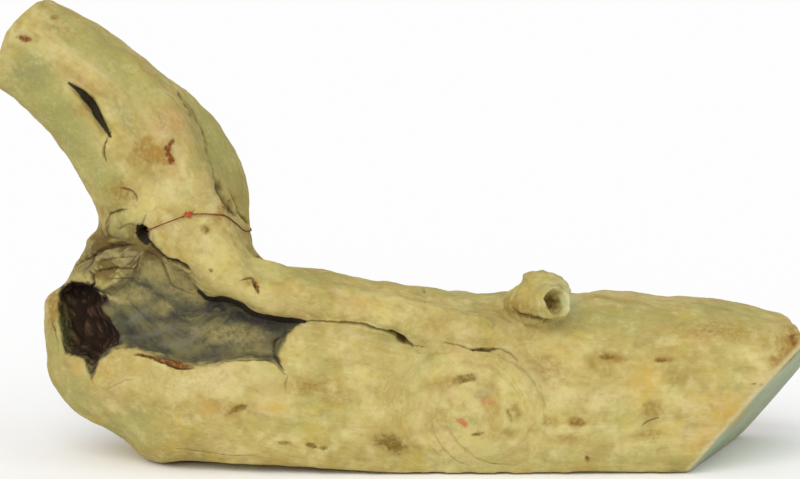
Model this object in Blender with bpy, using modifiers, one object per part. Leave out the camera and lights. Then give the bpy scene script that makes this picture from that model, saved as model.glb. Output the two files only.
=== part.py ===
"""A piece of driftwood with a thread tied round the neck of its limb.

The trunk lies along X on a flat, worn base. A limb rises from its left end, a
shorter rib is fused to the back of that limb, and a root runs from the neck
along the front of the trunk. The right end and the limb's tip are sawn.
The origin is at the bottom centre of the piece: +X runs to the sawn end, +Y to
the back and +Z up. Every size below is in millimetres.
"""

import math
from collections import namedtuple

import bmesh
import bpy
import numpy as np
from mathutils import Matrix, Vector
from mathutils.bvhtree import BVHTree

MM = 0.001

# Mesh densities
RING_POINTS = 28
SAMPLES_PER_SPAN = 5
REMESH_SIZE = 3.4
SMOOTH_PASSES = 9
SQUARENESS = 2.5
KEPT_FACES = 0.19

# A station of a loft: its centre, its half-size across the path in the XZ
# plane, and its half-size along Y.
Station = namedtuple("Station", "x y z across deep")

TRUNK = [
    Station(-179, 0, 62.5, 8, 8),
    Station(-175, 0, 62.5, 20, 19),
    Station(-168, 0, 61.5, 29.5, 28),
    Station(-155, 0, 59.5, 38, 38),
    Station(-136, 0, 56.5, 43, 45),
    Station(-119, 0, 52, 47.5, 48.5),
    Station(-100, 0, 45, 55, 51),
    Station(-60, 0, 37, 57, 53),
    Station(-20, 0, 31, 56, 54),
    Station(20, 1, 26, 57, 53),
    Station(60, 1, 25, 57, 53),
    Station(110, 0, 25, 55, 51),
    Station(150, -1, 25, 54, 49),
    Station(185, -1, 25, 49.5, 45),
    Station(225, 0, 23, 42.5, 40),
]

LIMB = [
    Station(-92, -2, 52, 38, 38),
    Station(-106, -4, 82, 35, 36),
    Station(-112, -5, 104, 34, 34),
    Station(-116, -6, 124, 34, 32.5),
    Station(-129, -6, 153, 33, 31),
    Station(-151, -5, 181, 30.5, 29),
    Station(-182, -3, 204, 26.5, 27),
    Station(-212, -2, 221, 25, 26),
]

RIB = [
    Station(-83, 12, 70, 24, 26),
    Station(-93, 17, 100, 19, 23),
    Station(-96, 19, 126, 20, 22),
    Station(-101, 19, 148, 18, 20),
    Station(-113, 16, 168, 15, 17),
    Station(-130, 10, 188, 9, 11),
]

ROOT = [
    Station(-122, -2, 162, 16, 14),
    Station(-113, -12, 139, 17, 15),
    Station(-101, -23, 118, 18, 16),
    Station(-86, -30, 102, 16.5, 17),
    Station(-66, -34, 91, 13, 16),
    Station(-40, -36, 83, 11.5, 14.5),
    Station(-8, -37, 75, 12.5, 13),
    Station(26, -34, 66, 14, 13),
    Station(64, -27, 56, 13, 12),
]

BACK_ROOT = [
    Station(-92, 24, 98, 16, 14),
    Station(-64, 33, 74, 14, 16),
    Station(-15, 38, 58, 12, 14),
    Station(45, 41, 48, 12, 13),
    Station(110, 36, 40, 12, 12),
]

# A broken branch stub near the top of the trunk, and the jagged lip above it.
STUB = [
    Station(62, -14, 66, 14, 13),
    Station(67, -25, 75, 13, 12),
    Station(72, -34, 81, 11, 10.5),
    Station(75, -41, 85, 9, 9),
]
STUB_LIP = [
    Station(73, -16, 72, 15, 10),
    Station(70, -20, 84, 13, 9),
    Station(68, -23, 92, 11, 7),
    Station(68, -24, 95.5, 9.5, 5.5),
]

# Rounded lumps: centre, radii along X, Y and Z, and the tilt about Y in degrees.
Lump = namedtuple("Lump", "x y z rx ry rz tilt")
BURL = Lump(-141, -6, 92, 23, 29, 28, 32)
WHORL = Lump(34, -36, 34, 42, 19, 30, 0)
BELLY = Lump(-92, -22, 38, 44, 31, 25, 0)
TOP_BUMP = Lump(-37, -10, 88, 12, 10, 7, 10)
BACK_KNOT = Lump(-30, 46, 40, 20, 13, 17, -15)

# Saw cuts: a point on the face and the outward normal.
BASE_FACE = (Vector((0, 0, 0)), Vector((0, 0, -1)))
TRUNK_SAW = (Vector((211, -20, 69)), Vector((0.725, -0.315, -0.612)))
LIMB_SAW = (Vector((-189, 0, 207)), Vector((-0.913, 0.196, 0.358)))
LIMB_WEAR = (Vector((-185, 0, 213)), Vector((-0.78, 0.12, 0.62)))
CORNER_WEAR = (Vector((195, 0, 67)), Vector((0.86, 0.0, 0.51)))

# The bottom centre of the finished piece, which is moved to the origin at the end.
CENTRE = Vector((5.86, 1.82, 0))

# Hollows cut from the front. Each outline is (x, z) seen from the front.
RECESS_FLOOR = -37
RECESS = [
    (-160, 92), (-163, 76), (-160, 60), (-145, 58), (-134, 62), (-125, 60),
    (-113, 55), (-97, 52), (-75, 55), (-57, 52), (-59, 63), (-46, 74),
    (-66, 77), (-84, 84), (-94, 89), (-103, 101), (-118, 112), (-140, 108),
]
ROT_FLOOR = -15
ROT_HOLE = [
    (-160, 92), (-164, 78), (-162, 61), (-154, 56), (-148, 47), (-145, 57),
    (-134, 62), (-142, 74), (-138, 85), (-149, 91),
]

# The slit in the limb and the hollow in the stub: points and radii of a tapered
# tube, which is then stretched along Y by the factor given.
SLIT = [(-157.5, 188, 0.6), (-154, 184, 1.7), (-149, 178, 2.5), (-144.5, 169.5, 2.5), (-141, 164, 1.2)]
SLIT_STRETCH = 7
STUB_HOLLOW = [(71, -29, 79, 3.4), (75, -38, 84, 4.6), (79, -48, 89, 6.0)]

# The knot hole at the front of the neck narrows to a channel that runs out at the
# back: (x, y, z, radius).
CHANNEL = [
    (-121, -52, 118, 4.6), (-121, -36, 118, 3.9), (-121.5, -24, 117.5, 2.8),
    (-123, 20, 114, 2.6), (-123, 52, 110, 3.0),
]

# The thread: a loop over the front of the neck, round the rib and back through
# the channel. It is drawn tight over the wood from these points.
THREAD_RADIUS = 0.5
THREAD_GAP = 0.4
THREAD_POINTS = 150
THREAD_PULLS = 120
KNOT_BULGE = 1.7
KNOT_LENGTH = 1.7
KNOT_PLACE = Vector((-102, -42, 126))
THREAD = [
    (-121, -30, 118), (-119, -42, 119), (-111, -43, 122.5), (-102, -43, 126), (-93, -42, 127.5),
    (-85, -35, 126), (-79.5, -24, 121), (-76, -10, 112), (-73, 6, 105), (-75, 24, 101), (-86, 38, 100),
    (-100, 40, 103), (-114, 36, 107), (-122, 33, 112), (-123, 20, 114), (-122.2, 0, 115.8),
    (-121.5, -15, 117),
]

WOOD_COLOUR = (0.60, 0.50, 0.22, 1.0)
THREAD_COLOUR = (0.22, 0.06, 0.02, 1.0)


def clear_scene():
    for thing in list(bpy.data.objects):
        bpy.data.objects.remove(thing)


def collection(name):
    made = bpy.data.collections.new(name)
    bpy.context.scene.collection.children.link(made)
    return made


def material(name, colour, roughness):
    made = bpy.data.materials.new(name)
    made.use_nodes = True
    shader = made.node_tree.nodes["Principled BSDF"]
    shader.inputs["Base Color"].default_value = colour
    shader.inputs["Roughness"].default_value = roughness
    shader.inputs["Metallic"].default_value = 0.0
    return made


def add_object(name, mesh, home):
    made = bpy.data.objects.new(name, mesh)
    home.objects.link(made)
    return made


def catmull_rom(rows, samples):
    """Rows of numbers joined by a smooth curve that passes through each row."""
    padded = [2 * rows[0] - rows[1], *rows, 2 * rows[-1] - rows[-2]]
    found = []
    for a, b, c, d in zip(padded, padded[1:], padded[2:], padded[3:]):
        for t in np.linspace(0, 1, samples, endpoint=False):
            found.append(
                0.5
                * (2 * b + (c - a) * t + (2 * a - 5 * b + 4 * c - d) * t**2 + (3 * b - a - 3 * c + d) * t**3)
            )
    return [*found, rows[-1]]


def add_loft(shape, stations, lobes):
    """Adds a closed tube through the stations. Lobes is how far its section leaves a squared ellipse."""
    rows = catmull_rom([np.array(s, float) for s in stations], SAMPLES_PER_SPAN)
    centres = [Vector(row[:3]) for row in rows]
    rings = []
    for i, row in enumerate(rows):
        along = centres[min(i + 1, len(rows) - 1)] - centres[max(i - 1, 0)]
        along.y = 0
        up = Vector((-along.z, 0, along.x)).normalized()
        turn = 2 * math.pi * i / len(rows)
        ring = []
        for k in range(RING_POINTS):
            angle = 2 * math.pi * k / RING_POINTS
            swell = (abs(math.sin(angle)) ** SQUARENESS + abs(math.cos(angle)) ** SQUARENESS) ** (-1 / SQUARENESS)
            swell += lobes * (math.sin(3 * angle + turn) + 0.6 * math.cos(5 * angle - 2 * turn))
            point = centres[i] + up * (row[3] * swell * math.sin(angle))
            point.y += row[4] * swell * math.cos(angle)
            ring.append(shape.verts.new(point * MM))
        rings.append(ring)
    for lower, upper in zip(rings, rings[1:]):
        for k in range(RING_POINTS):
            after = (k + 1) % RING_POINTS
            shape.faces.new((lower[k], lower[after], upper[after], upper[k]))
    shape.faces.new(list(reversed(rings[0])))
    shape.faces.new(rings[-1])


def add_lump(shape, lump):
    place = (
        Matrix.Translation(Vector((lump.x, lump.y, lump.z)) * MM)
        @ Matrix.Rotation(math.radians(lump.tilt), 4, "Y")
        @ Matrix.Diagonal((lump.rx * MM, lump.ry * MM, lump.rz * MM, 1))
    )
    bmesh.ops.create_icosphere(shape, subdivisions=3, radius=1, matrix=place)


def grown_form(home):
    """All the grown masses as one mesh object. They overlap until the Remesh joins them."""
    shape = bmesh.new()
    for stations, lobes in ((TRUNK, 0.018), (LIMB, 0.02), (RIB, 0.015), (ROOT, 0.03), (BACK_ROOT, 0.03)):
        add_loft(shape, stations, lobes)
    for stations in (STUB, STUB_LIP):
        add_loft(shape, stations, 0.05)
    for lump in (BURL, WHORL, BELLY, TOP_BUMP, BACK_KNOT):
        add_lump(shape, lump)
    bmesh.ops.recalc_face_normals(shape, faces=shape.faces)
    mesh = bpy.data.meshes.new("driftwood")
    shape.to_mesh(mesh)
    shape.free()
    return add_object("driftwood", mesh, home)


def mesh_of_curve(curve, home):
    """The curve's evaluated mesh as a closed cutter object. The curve itself is removed."""
    bpy.context.view_layer.update()
    mesh = bpy.data.meshes.new_from_object(curve.evaluated_get(bpy.context.evaluated_depsgraph_get()))
    place = curve.matrix_world.copy()
    name = curve.name
    bpy.data.objects.remove(curve)
    shape = bmesh.new()
    shape.from_mesh(mesh)
    bmesh.ops.remove_doubles(shape, verts=shape.verts, dist=0.00001)
    bmesh.ops.recalc_face_normals(shape, faces=shape.faces)
    shape.to_mesh(mesh)
    shape.free()
    made = add_object(name, mesh, home)
    made.matrix_world = place
    return made


def outline_cutter(name, outline, floor, home):
    """A prism with the outline in the XZ plane, from well in front of the wood back to the floor."""
    front = -90
    data = bpy.data.curves.new(name, "CURVE")
    data.dimensions = "2D"
    data.fill_mode = "BOTH"
    data.extrude = (floor - front) / 2 * MM
    data.resolution_u = 2
    spline = data.splines.new("BEZIER")
    spline.bezier_points.add(len(outline) - 1)
    for point, (x, z) in zip(spline.bezier_points, outline):
        point.co = (x * MM, z * MM, 0)
        point.handle_left_type = point.handle_right_type = "AUTO"
    spline.use_cyclic_u = True
    curve = add_object(name, data, home)
    curve.rotation_euler.x = math.pi / 2
    curve.location.y = (floor + front) / 2 * MM
    return mesh_of_curve(curve, home)


def tube(name, points, home, closed=False, thickness=MM, resolution=2):
    """A curve object along (x, y, z, radius) points, in a bevelled tube with filled caps."""
    data = bpy.data.curves.new(name, "CURVE")
    data.dimensions = "3D"
    data.bevel_depth = thickness
    data.bevel_resolution = resolution
    data.use_fill_caps = True
    spline = data.splines.new("POLY")
    spline.points.add(len(points) - 1)
    for point, (x, y, z, radius) in zip(spline.points, points):
        point.co = (x * MM, y * MM, z * MM, 1)
        point.radius = radius
    spline.use_cyclic_u = closed
    return add_object(name, data, home)


def slit_cutter(home):
    """The tapered slit through the limb's front, a lens in section that runs deep along Y."""
    points = [(x, 0, z, radius) for x, z, radius in SLIT]
    curve = tube("slit", points, home)
    curve.scale.y = SLIT_STRETCH
    curve.location.y = -36 * MM
    return mesh_of_curve(curve, home)


def saw_cutter(name, face, home):
    """A large block whose near side lies on the sawn face."""
    side = 300 * MM
    point, normal = face
    shape = bmesh.new()
    bmesh.ops.create_cube(shape, size=side)
    mesh = bpy.data.meshes.new(name)
    shape.to_mesh(mesh)
    shape.free()
    made = add_object(name, mesh, home)
    made.rotation_mode = "QUATERNION"
    made.rotation_quaternion = normal.to_track_quat("Z", "Y")
    made.location = point * MM + normal.normalized() * (side / 2)
    if name == "base_saw":
        made.scale = (2, 1, 1)
    return made


def add_modifiers(wood):
    remesh = wood.modifiers.new("join", "REMESH")
    remesh.mode = "VOXEL"
    remesh.voxel_size = REMESH_SIZE * MM
    remesh.use_smooth_shade = True
    smooth = wood.modifiers.new("flow", "SMOOTH")
    smooth.factor = 0.5
    smooth.iterations = SMOOTH_PASSES
    decimate = wood.modifiers.new("thin", "DECIMATE")
    decimate.ratio = KEPT_FACES


def cut(wood, cutter):
    cutter.hide_render = True
    cutter.display_type = "WIRE"
    boolean = wood.modifiers.new(cutter.name, "BOOLEAN")
    boolean.operation = "DIFFERENCE"
    boolean.solver = "EXACT"
    boolean.object = cutter


def drawn_tight(points, stand_off, tree):
    """The closed line of points pulled tight, then held off the wood by each point's stand-off."""
    for _ in range(THREAD_PULLS):
        pulled = 0.5 * points + 0.25 * (np.roll(points, 1, axis=0) + np.roll(points, -1, axis=0))
        for i, place in enumerate(pulled):
            point = Vector(place)
            nearest, normal, _, distance = tree.find_nearest(point)
            outside = (point - nearest).dot(normal) > 0
            if not outside or distance < stand_off[i]:
                away = (point - nearest).normalized() if outside and distance > 0.0001 * MM else normal
                pulled[i] = nearest + away * stand_off[i]
        points = pulled
    return points


def tie_thread(wood, home):
    """The thread as one closed loop, swollen where it is knotted."""
    bpy.context.view_layer.update()
    tree = BVHTree.FromObject(wood, bpy.context.evaluated_depsgraph_get())
    way = [np.array(point, float) * MM for point in THREAD]
    samples = catmull_rom([way[-1], *way, way[0], way[1]], 24)[24:-25]
    path = np.array(samples)
    steps = np.linalg.norm(np.roll(path, -1, axis=0) - path, axis=1)
    length = np.concatenate([[0], np.cumsum(steps)])
    looped = np.vstack([path, path[:1]])
    wanted = np.linspace(0, length[-1], THREAD_POINTS, endpoint=False)
    path = np.column_stack([np.interp(wanted, length, looped[:, axis]) for axis in range(3)])
    from_knot = np.linalg.norm(path - np.array(KNOT_PLACE) * MM, axis=1)
    from_knot -= from_knot.min()
    thickness = 1 + KNOT_BULGE * np.exp(-((from_knot / (KNOT_LENGTH * MM)) ** 2))
    path = drawn_tight(path, (THREAD_RADIUS * thickness + THREAD_GAP) * MM, tree)
    points = [(*(place / MM), size) for place, size in zip(path, thickness)]
    return tube("tie_thread", points, home, True, THREAD_RADIUS * MM, 1)


def main():
    clear_scene()
    parts = collection("driftwood")
    cutters = collection("cutters")
    wood = grown_form(parts)
    wood.data.materials.append(material("weathered_wood", WOOD_COLOUR, 0.8))
    add_modifiers(wood)
    cut(wood, outline_cutter("recess", RECESS, RECESS_FLOOR, cutters))
    cut(wood, outline_cutter("rot_hole", ROT_HOLE, ROT_FLOOR, cutters))
    cut(wood, slit_cutter(cutters))
    hollow = mesh_of_curve(tube("stub_hollow", STUB_HOLLOW, cutters), cutters)
    cut(wood, hollow)
    cut(wood, mesh_of_curve(tube("channel", CHANNEL, cutters), cutters))
    cut(wood, saw_cutter("base_saw", BASE_FACE, cutters))
    cut(wood, saw_cutter("trunk_saw", TRUNK_SAW, cutters))
    cut(wood, saw_cutter("limb_saw", LIMB_SAW, cutters))
    cut(wood, saw_cutter("limb_wear", LIMB_WEAR, cutters))
    cut(wood, saw_cutter("corner_wear", CORNER_WEAR, cutters))
    thread = tie_thread(wood, parts)
    thread.data.materials.append(material("thread", THREAD_COLOUR, 0.9))
    for thing in bpy.data.objects:
        thing.location -= CENTRE * MM


main()
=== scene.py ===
"""Looks for the piece of driftwood with a thread tied round its neck.

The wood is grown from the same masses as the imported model, finely remeshed, then
carved and weathered in steps: broad swells, the recess and its rot hole, the slit,
the channel for the thread, the stub, the grain and the cracks. Each step also
leaves an attribute on the mesh, and the wood's material is mixed from those.

Lengths in the tables are millimetres. +X runs to the sawn end, +Y to the back and
+Z up. The masses, faces, stub, channel and thread are in the frame that they were
laid out in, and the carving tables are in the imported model's, which is CENTRE away.
"""

import math
from collections import namedtuple
from itertools import product

import bmesh
import bpy
import numpy as np
from mathutils import Matrix, Vector
from mathutils.bvhtree import BVHTree


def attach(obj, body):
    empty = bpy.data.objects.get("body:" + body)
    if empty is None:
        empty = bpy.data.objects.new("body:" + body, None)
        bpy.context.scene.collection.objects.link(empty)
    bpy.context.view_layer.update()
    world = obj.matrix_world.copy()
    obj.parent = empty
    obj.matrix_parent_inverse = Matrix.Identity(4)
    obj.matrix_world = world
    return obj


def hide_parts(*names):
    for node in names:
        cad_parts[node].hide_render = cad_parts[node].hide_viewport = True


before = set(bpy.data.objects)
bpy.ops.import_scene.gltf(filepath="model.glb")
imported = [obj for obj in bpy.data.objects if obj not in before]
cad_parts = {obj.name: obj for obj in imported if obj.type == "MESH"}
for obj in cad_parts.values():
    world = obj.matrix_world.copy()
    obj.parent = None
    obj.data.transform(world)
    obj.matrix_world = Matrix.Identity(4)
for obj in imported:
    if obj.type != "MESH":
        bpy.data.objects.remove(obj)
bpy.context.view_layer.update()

MM = 0.001

# The remeshing, from the coarse form to the fine wood
FORM_VOXEL = 1.8
FORM_SMOOTHING = 32
BORED_VOXEL = 1.4
STUB_VOXEL = 0.9
FINE_VOXEL = 0.95

# The lofts: points round a ring, rings in a span, and how square a section is
RING_POINTS = 56
SAMPLES_PER_SPAN = 10
SQUARENESS = 2.5

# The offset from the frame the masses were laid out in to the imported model's.
CENTRE = np.array([5.86, 1.82, 0.0])

# A section of a mass: its middle, half its height across the run, and half its depth.
Station = namedtuple("Station", "x y z across deep")

TRUNK = [
    Station(-179, 0, 62.5, 8, 8),
    Station(-175, 0, 62.5, 20, 19),
    Station(-168, 0, 61.5, 29.5, 28),
    Station(-155, 0, 59.5, 38, 38),
    Station(-136, 0, 56.5, 43, 45),
    Station(-119, 0, 52, 47.5, 48.5),
    Station(-100, 0, 45, 55, 51),
    Station(-60, 0, 37, 57, 53),
    Station(-20, 0, 31, 56, 54),
    Station(20, 1, 26, 57, 53),
    Station(60, 1, 25, 57, 53),
    Station(110, 0, 25, 55, 51),
    Station(150, -1, 25, 54, 49),
    Station(185, -1, 25, 49.5, 45),
    Station(225, 0, 23, 42.5, 40),
]

LIMB = [
    Station(-92, -2, 52, 38, 38),
    Station(-106, -4, 82, 35, 36),
    Station(-112, -5, 104, 34, 34),
    Station(-115.4, -6, 124.2, 33, 32.5),
    Station(-128.2, -6, 153.4, 32, 31),
    Station(-150.5, -5, 181.4, 29.8, 29),
    Station(-181.4, -3, 204.6, 25.6, 27),
    Station(-212, -2, 221, 25, 26),
]

RIB = [
    Station(-83, 12, 70, 24, 26),
    Station(-93, 17, 100, 19, 23),
    Station(-96.8, 19, 126, 20, 22),
    Station(-101.8, 19, 148, 18, 20),
    Station(-113, 16, 168, 15, 17),
    Station(-130, 10, 188, 9, 11),
]

ROOT = [
    Station(-122, -2, 162, 16, 14),
    Station(-113, -12, 139, 17, 15),
    Station(-101, -23, 118, 18, 16),
    Station(-86, -30, 102, 16.5, 17),
    Station(-66, -34, 91, 13, 16),
    Station(-40, -36, 83, 11.5, 14.5),
    Station(-8, -37, 75, 12.5, 13),
    Station(26, -34, 66, 14, 13),
    Station(64, -27, 56, 13, 12),
]

BACK_ROOT = [
    Station(-92, 24, 98, 16, 14),
    Station(-64, 33, 74, 14, 16),
    Station(-15, 38, 58, 12, 14),
    Station(45, 41, 48, 12, 13),
    Station(110, 36, 40, 12, 12),
]

# The stub's core and its hollow are round tubes: places and radii.
STUB = [
    (60, -6, 70, 13), (64, -24, 78, 12.5), (68, -34, 81, 11),
    (72, -41, 83, 9.4), (75, -46, 84.2, 8.4), (76.5, -48.5, 85, 7.6),
]
STUB_LIP = [
    Station(60.5, -28, 93.2, 1.2, 4),
    Station(62.5, -28, 93.2, 3.2, 8),
    Station(68, -28, 92.8, 4.0, 10),
    Station(74, -29, 91.6, 4.0, 10),
    Station(79, -30, 89, 4, 8),
    Station(82.5, -32, 86, 2.4, 5),
]
STUB_HOLLOW = [(80, -62, 90, 8.4), (76, -49, 85.4, 6.8), (72.5, -42.5, 83.4, 4.6), (69, -36, 81, 2.8)]

Lump = namedtuple("Lump", "x y z rx ry rz tilt")
LUMPS = [
    Lump(-141, -6, 92, 23, 29, 28, 32),
    Lump(34, -36, 34, 42, 19, 30, 0),
    Lump(-92, -22, 38, 44, 31, 25, 0),
    Lump(-37, -10, 88, 12, 10, 7, 10),
    Lump(-30, 46, 40, 20, 13, 17, -15),
]

# Sawn or worn faces: a point on the face and its outward normal.
Face = namedtuple("Face", "point normal")
BASE_FACE = Face((0, 0, 0), (0, 0, -1))
TRUNK_SAW = Face((211, -20, 69), (0.725, -0.315, -0.612))
LIMB_SAW = Face((-187.9, 0, 206.6), (-0.913, 0.196, 0.358))
LIMB_WEAR = Face((-186.5, 0, 214.2), (-0.78, 0.12, 0.62))
CORNER_WEAR = Face((196.5, 0, 68), (0.86, 0.0, 0.51))
FACES = (BASE_FACE, TRUNK_SAW, LIMB_SAW, LIMB_WEAR, CORNER_WEAR)
# Cutting to one face can push points past another, so they are cut in turn more than once.
FACE_ROUNDS = 3

# The studio: how brightly it lights the wood's front, the sky's share, and each lamp's way and power
LIGHT = 1.22
SKY = 0.62
LAMPS = {"key": ((0.30, 0.95, -0.75), 1.75), "fill": ((-0.8, 0.5, -0.5), 0.35)}
LAMP_SPREAD = math.radians(50)

# The camera, in metres and millimetres of lens
VIEW_ELEVATION = math.radians(7)
VIEW_DISTANCE = 1.117
VIEW_AIM = Vector((-CENTRE[0] * MM, -CENTRE[1] * MM, 0.1091))
LENS = 100


# ---------------------------------------------------------------- carving tables
# A side is the direction a mark is seen from. Places on the front and the back are
# (x, z), and those on the top are (x, y).

RECESS = [
    (-168, 91), (-176, 87), (-176, 79), (-174, 68), (-172, 57), (-161, 54), (-158, 47), (-156, 43),
    (-153, 54), (-146, 60), (-140, 61), (-131, 60), (-119, 56), (-107, 53), (-100, 53), (-90, 55),
    (-80, 57), (-72, 56), (-66, 54), (-61, 50), (-65, 59), (-60, 68), (-53, 75), (-64, 76),
    (-73, 77), (-79, 78), (-84, 83), (-90, 84.5), (-99, 85), (-103, 90), (-107, 97), (-114, 103),
    (-121, 107), (-127, 112), (-132, 107), (-137, 99), (-144, 93), (-151, 90), (-159, 92),
]
# The rot hole shares the recess's left end.
ROT = [
    *RECESS[:10], (-141, 61), (-144, 68), (-148, 74), (-153, 79), (-146, 84), (-152, 88), RECESS[-1],
]
# How deep the recess is at places inside it, and how soft its edge is there.
Sounding = namedtuple("Sounding", "x z depth edge")
SOUNDINGS = [
    Sounding(-172, 72, 9, 3), Sounding(-158, 60, 12, 2.5), Sounding(-150, 66, 11, 2),
    Sounding(-130, 68, 11, 2), Sounding(-112, 62, 10, 2), Sounding(-92, 66, 9, 2),
    Sounding(-75, 64, 7, 2), Sounding(-62, 70, 6, 2), Sounding(-94, 80, 12, 2),
    Sounding(-80, 75, 10, 2), Sounding(-108, 88, 8, 5), Sounding(-118, 98, 4.5, 7),
    Sounding(-128, 104, 3, 8), Sounding(-138, 90, 6, 9), Sounding(-150, 84, 8, 6),
    Sounding(-162, 88, 7, 5),
]
BURL = [
    (-174, 92), (-168, 102), (-160, 112), (-154, 119), (-146, 122), (-136, 121), (-129, 116), (-118, 106),
    (-106, 99), (-97, 87), (-106, 87), (-116, 90), (-130, 94), (-146, 92), (-160, 93),
]
# Where the burl's fibres fan out from
FAN_CENTRE = (-126, 114)
FAR_OUTSIDE = -99
ROT_DEPTH = 15
ROT_EDGE = 7
# How steeply the rot's fibres run down to the right
ROT_LEAN = math.radians(55)

# Broad swells on each side (or, below zero, dips): width, height, places.
Swell = namedtuple("Swell", "width height line")
SWELLS = {
    "front": [
        Swell(5, 1.6, [(-150, 55), (-138, 56), (-119, 51), (-100, 48), (-80, 51), (-66, 48)]),
        Swell(7, 1.8, [(-92, 92), (-80, 87), (-66, 82), (-52, 80), (-30, 79), (-10, 75)]),
        Swell(13, 3.2, [(-52, 60), (-40, 62), (-24, 60)]),
        Swell(4, -1.6, [(-62, 50), (-62.5, 42), (-60, 34)]),
        Swell(4, -2.6, [(-53, 75), (-39, 75), (-26, 73), (-14, 70), (-2, 65), (8, 62)]),
        Swell(3, -1.6, [(18, 64), (30, 61), (44, 60), (52, 56)]),
        Swell(5, 3.0, [(-174, 206), (-163, 199), (-154, 193), (-143, 186), (-137, 176), (-134, 166)]),
        Swell(4, 1.6, [(-168, 184), (-160, 177), (-154, 168), (-151, 160)]),
        Swell(5, 2.2, [(-150, 114), (-142, 118), (-134, 117)]),
        Swell(6, 2.0, [(-158, 100), (-148, 103), (-138, 105)]),
        Swell(4, 4.0, [(-170, 110), (-163, 115), (-155, 120)]),
        Swell(2.6, -2.8, [(-166, 98), (-161, 102), (-154, 107), (-147, 109), (-134, 111)]),
        Swell(2.6, -2.2, [(-151, 121), (-148, 125), (-144, 127), (-138, 128)]),
        Swell(2, 1.6, [(-124, 101), (-119, 97), (-115, 90), (-107, 86), (-98, 84)]),
        Swell(4, -2.6, [
            (-113, 185), (-107, 175), (-101, 162), (-95, 148), (-91, 136), (-86, 125), (-80, 112),
        ]),
        Swell(3, 0.9, [(-119, 183), (-110, 170), (-104, 156), (-99, 142), (-95, 131)]),
        Swell(6, -4.5, [(-168, 98), (-160, 107)]),
        Swell(8, 3.0, [(-180, 84), (-178, 74)]),
        Swell(7, -5.0, [(-80, 108), (-70, 100), (-58, 97)]),
        Swell(3, 0.9, [(36, 62), (46, 58), (56, 52), (63, 43), (67, 33)]),
        Swell(3, 0.9, [(12, 28), (16, 15), (27, 5), (38, 2)]),
        Swell(2.2, -0.8, [(21, 55), (37, 53), (48, 45), (54, 35), (50, 22), (40, 13)]),
        Swell(9, -1.6, [(70, 66), (100, 70), (130, 66)]),
        Swell(12, 1.6, [(80, 40), (110, 36), (140, 42)]),
        Swell(5, -1.2, [(-120, 12), (-98, 10), (-74, 9), (-60, 12)]),
    ],
    "back": [
        Swell(12, 2.5, [(-120, 50), (-80, 40), (-30, 44)]),
        Swell(6, -2.2, [(-60, 60), (-20, 52), (30, 44), (80, 36)]),
        Swell(9, 2.0, [(20, 70), (70, 66), (120, 58)]),
        Swell(10, -2.0, [(60, 22), (110, 26), (150, 22)]),
        Swell(16, 5.0, [(130, 12), (190, 18), (244, 26)]),
        Swell(5, -2.0, [(-130, 175), (-118, 150), (-110, 125), (-106, 105)]),
    ],
    "top": [
        Swell(6, -1.4, [(-40, 10), (10, 16), (60, 12), (120, 18)]),
        Swell(9, -5.0, [(-78, -64), (-77, -34), (-75, 0), (-70, 34)]),
        Swell(15, -2.8, [(16, -36), (30, 0), (40, 30)]),
        Swell(13, 3.2, [(88, -24), (101, 0), (108, 28)]),
        Swell(12, -2.4, [(172, -34), (184, 0), (188, 30)]),
    ],
}

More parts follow.
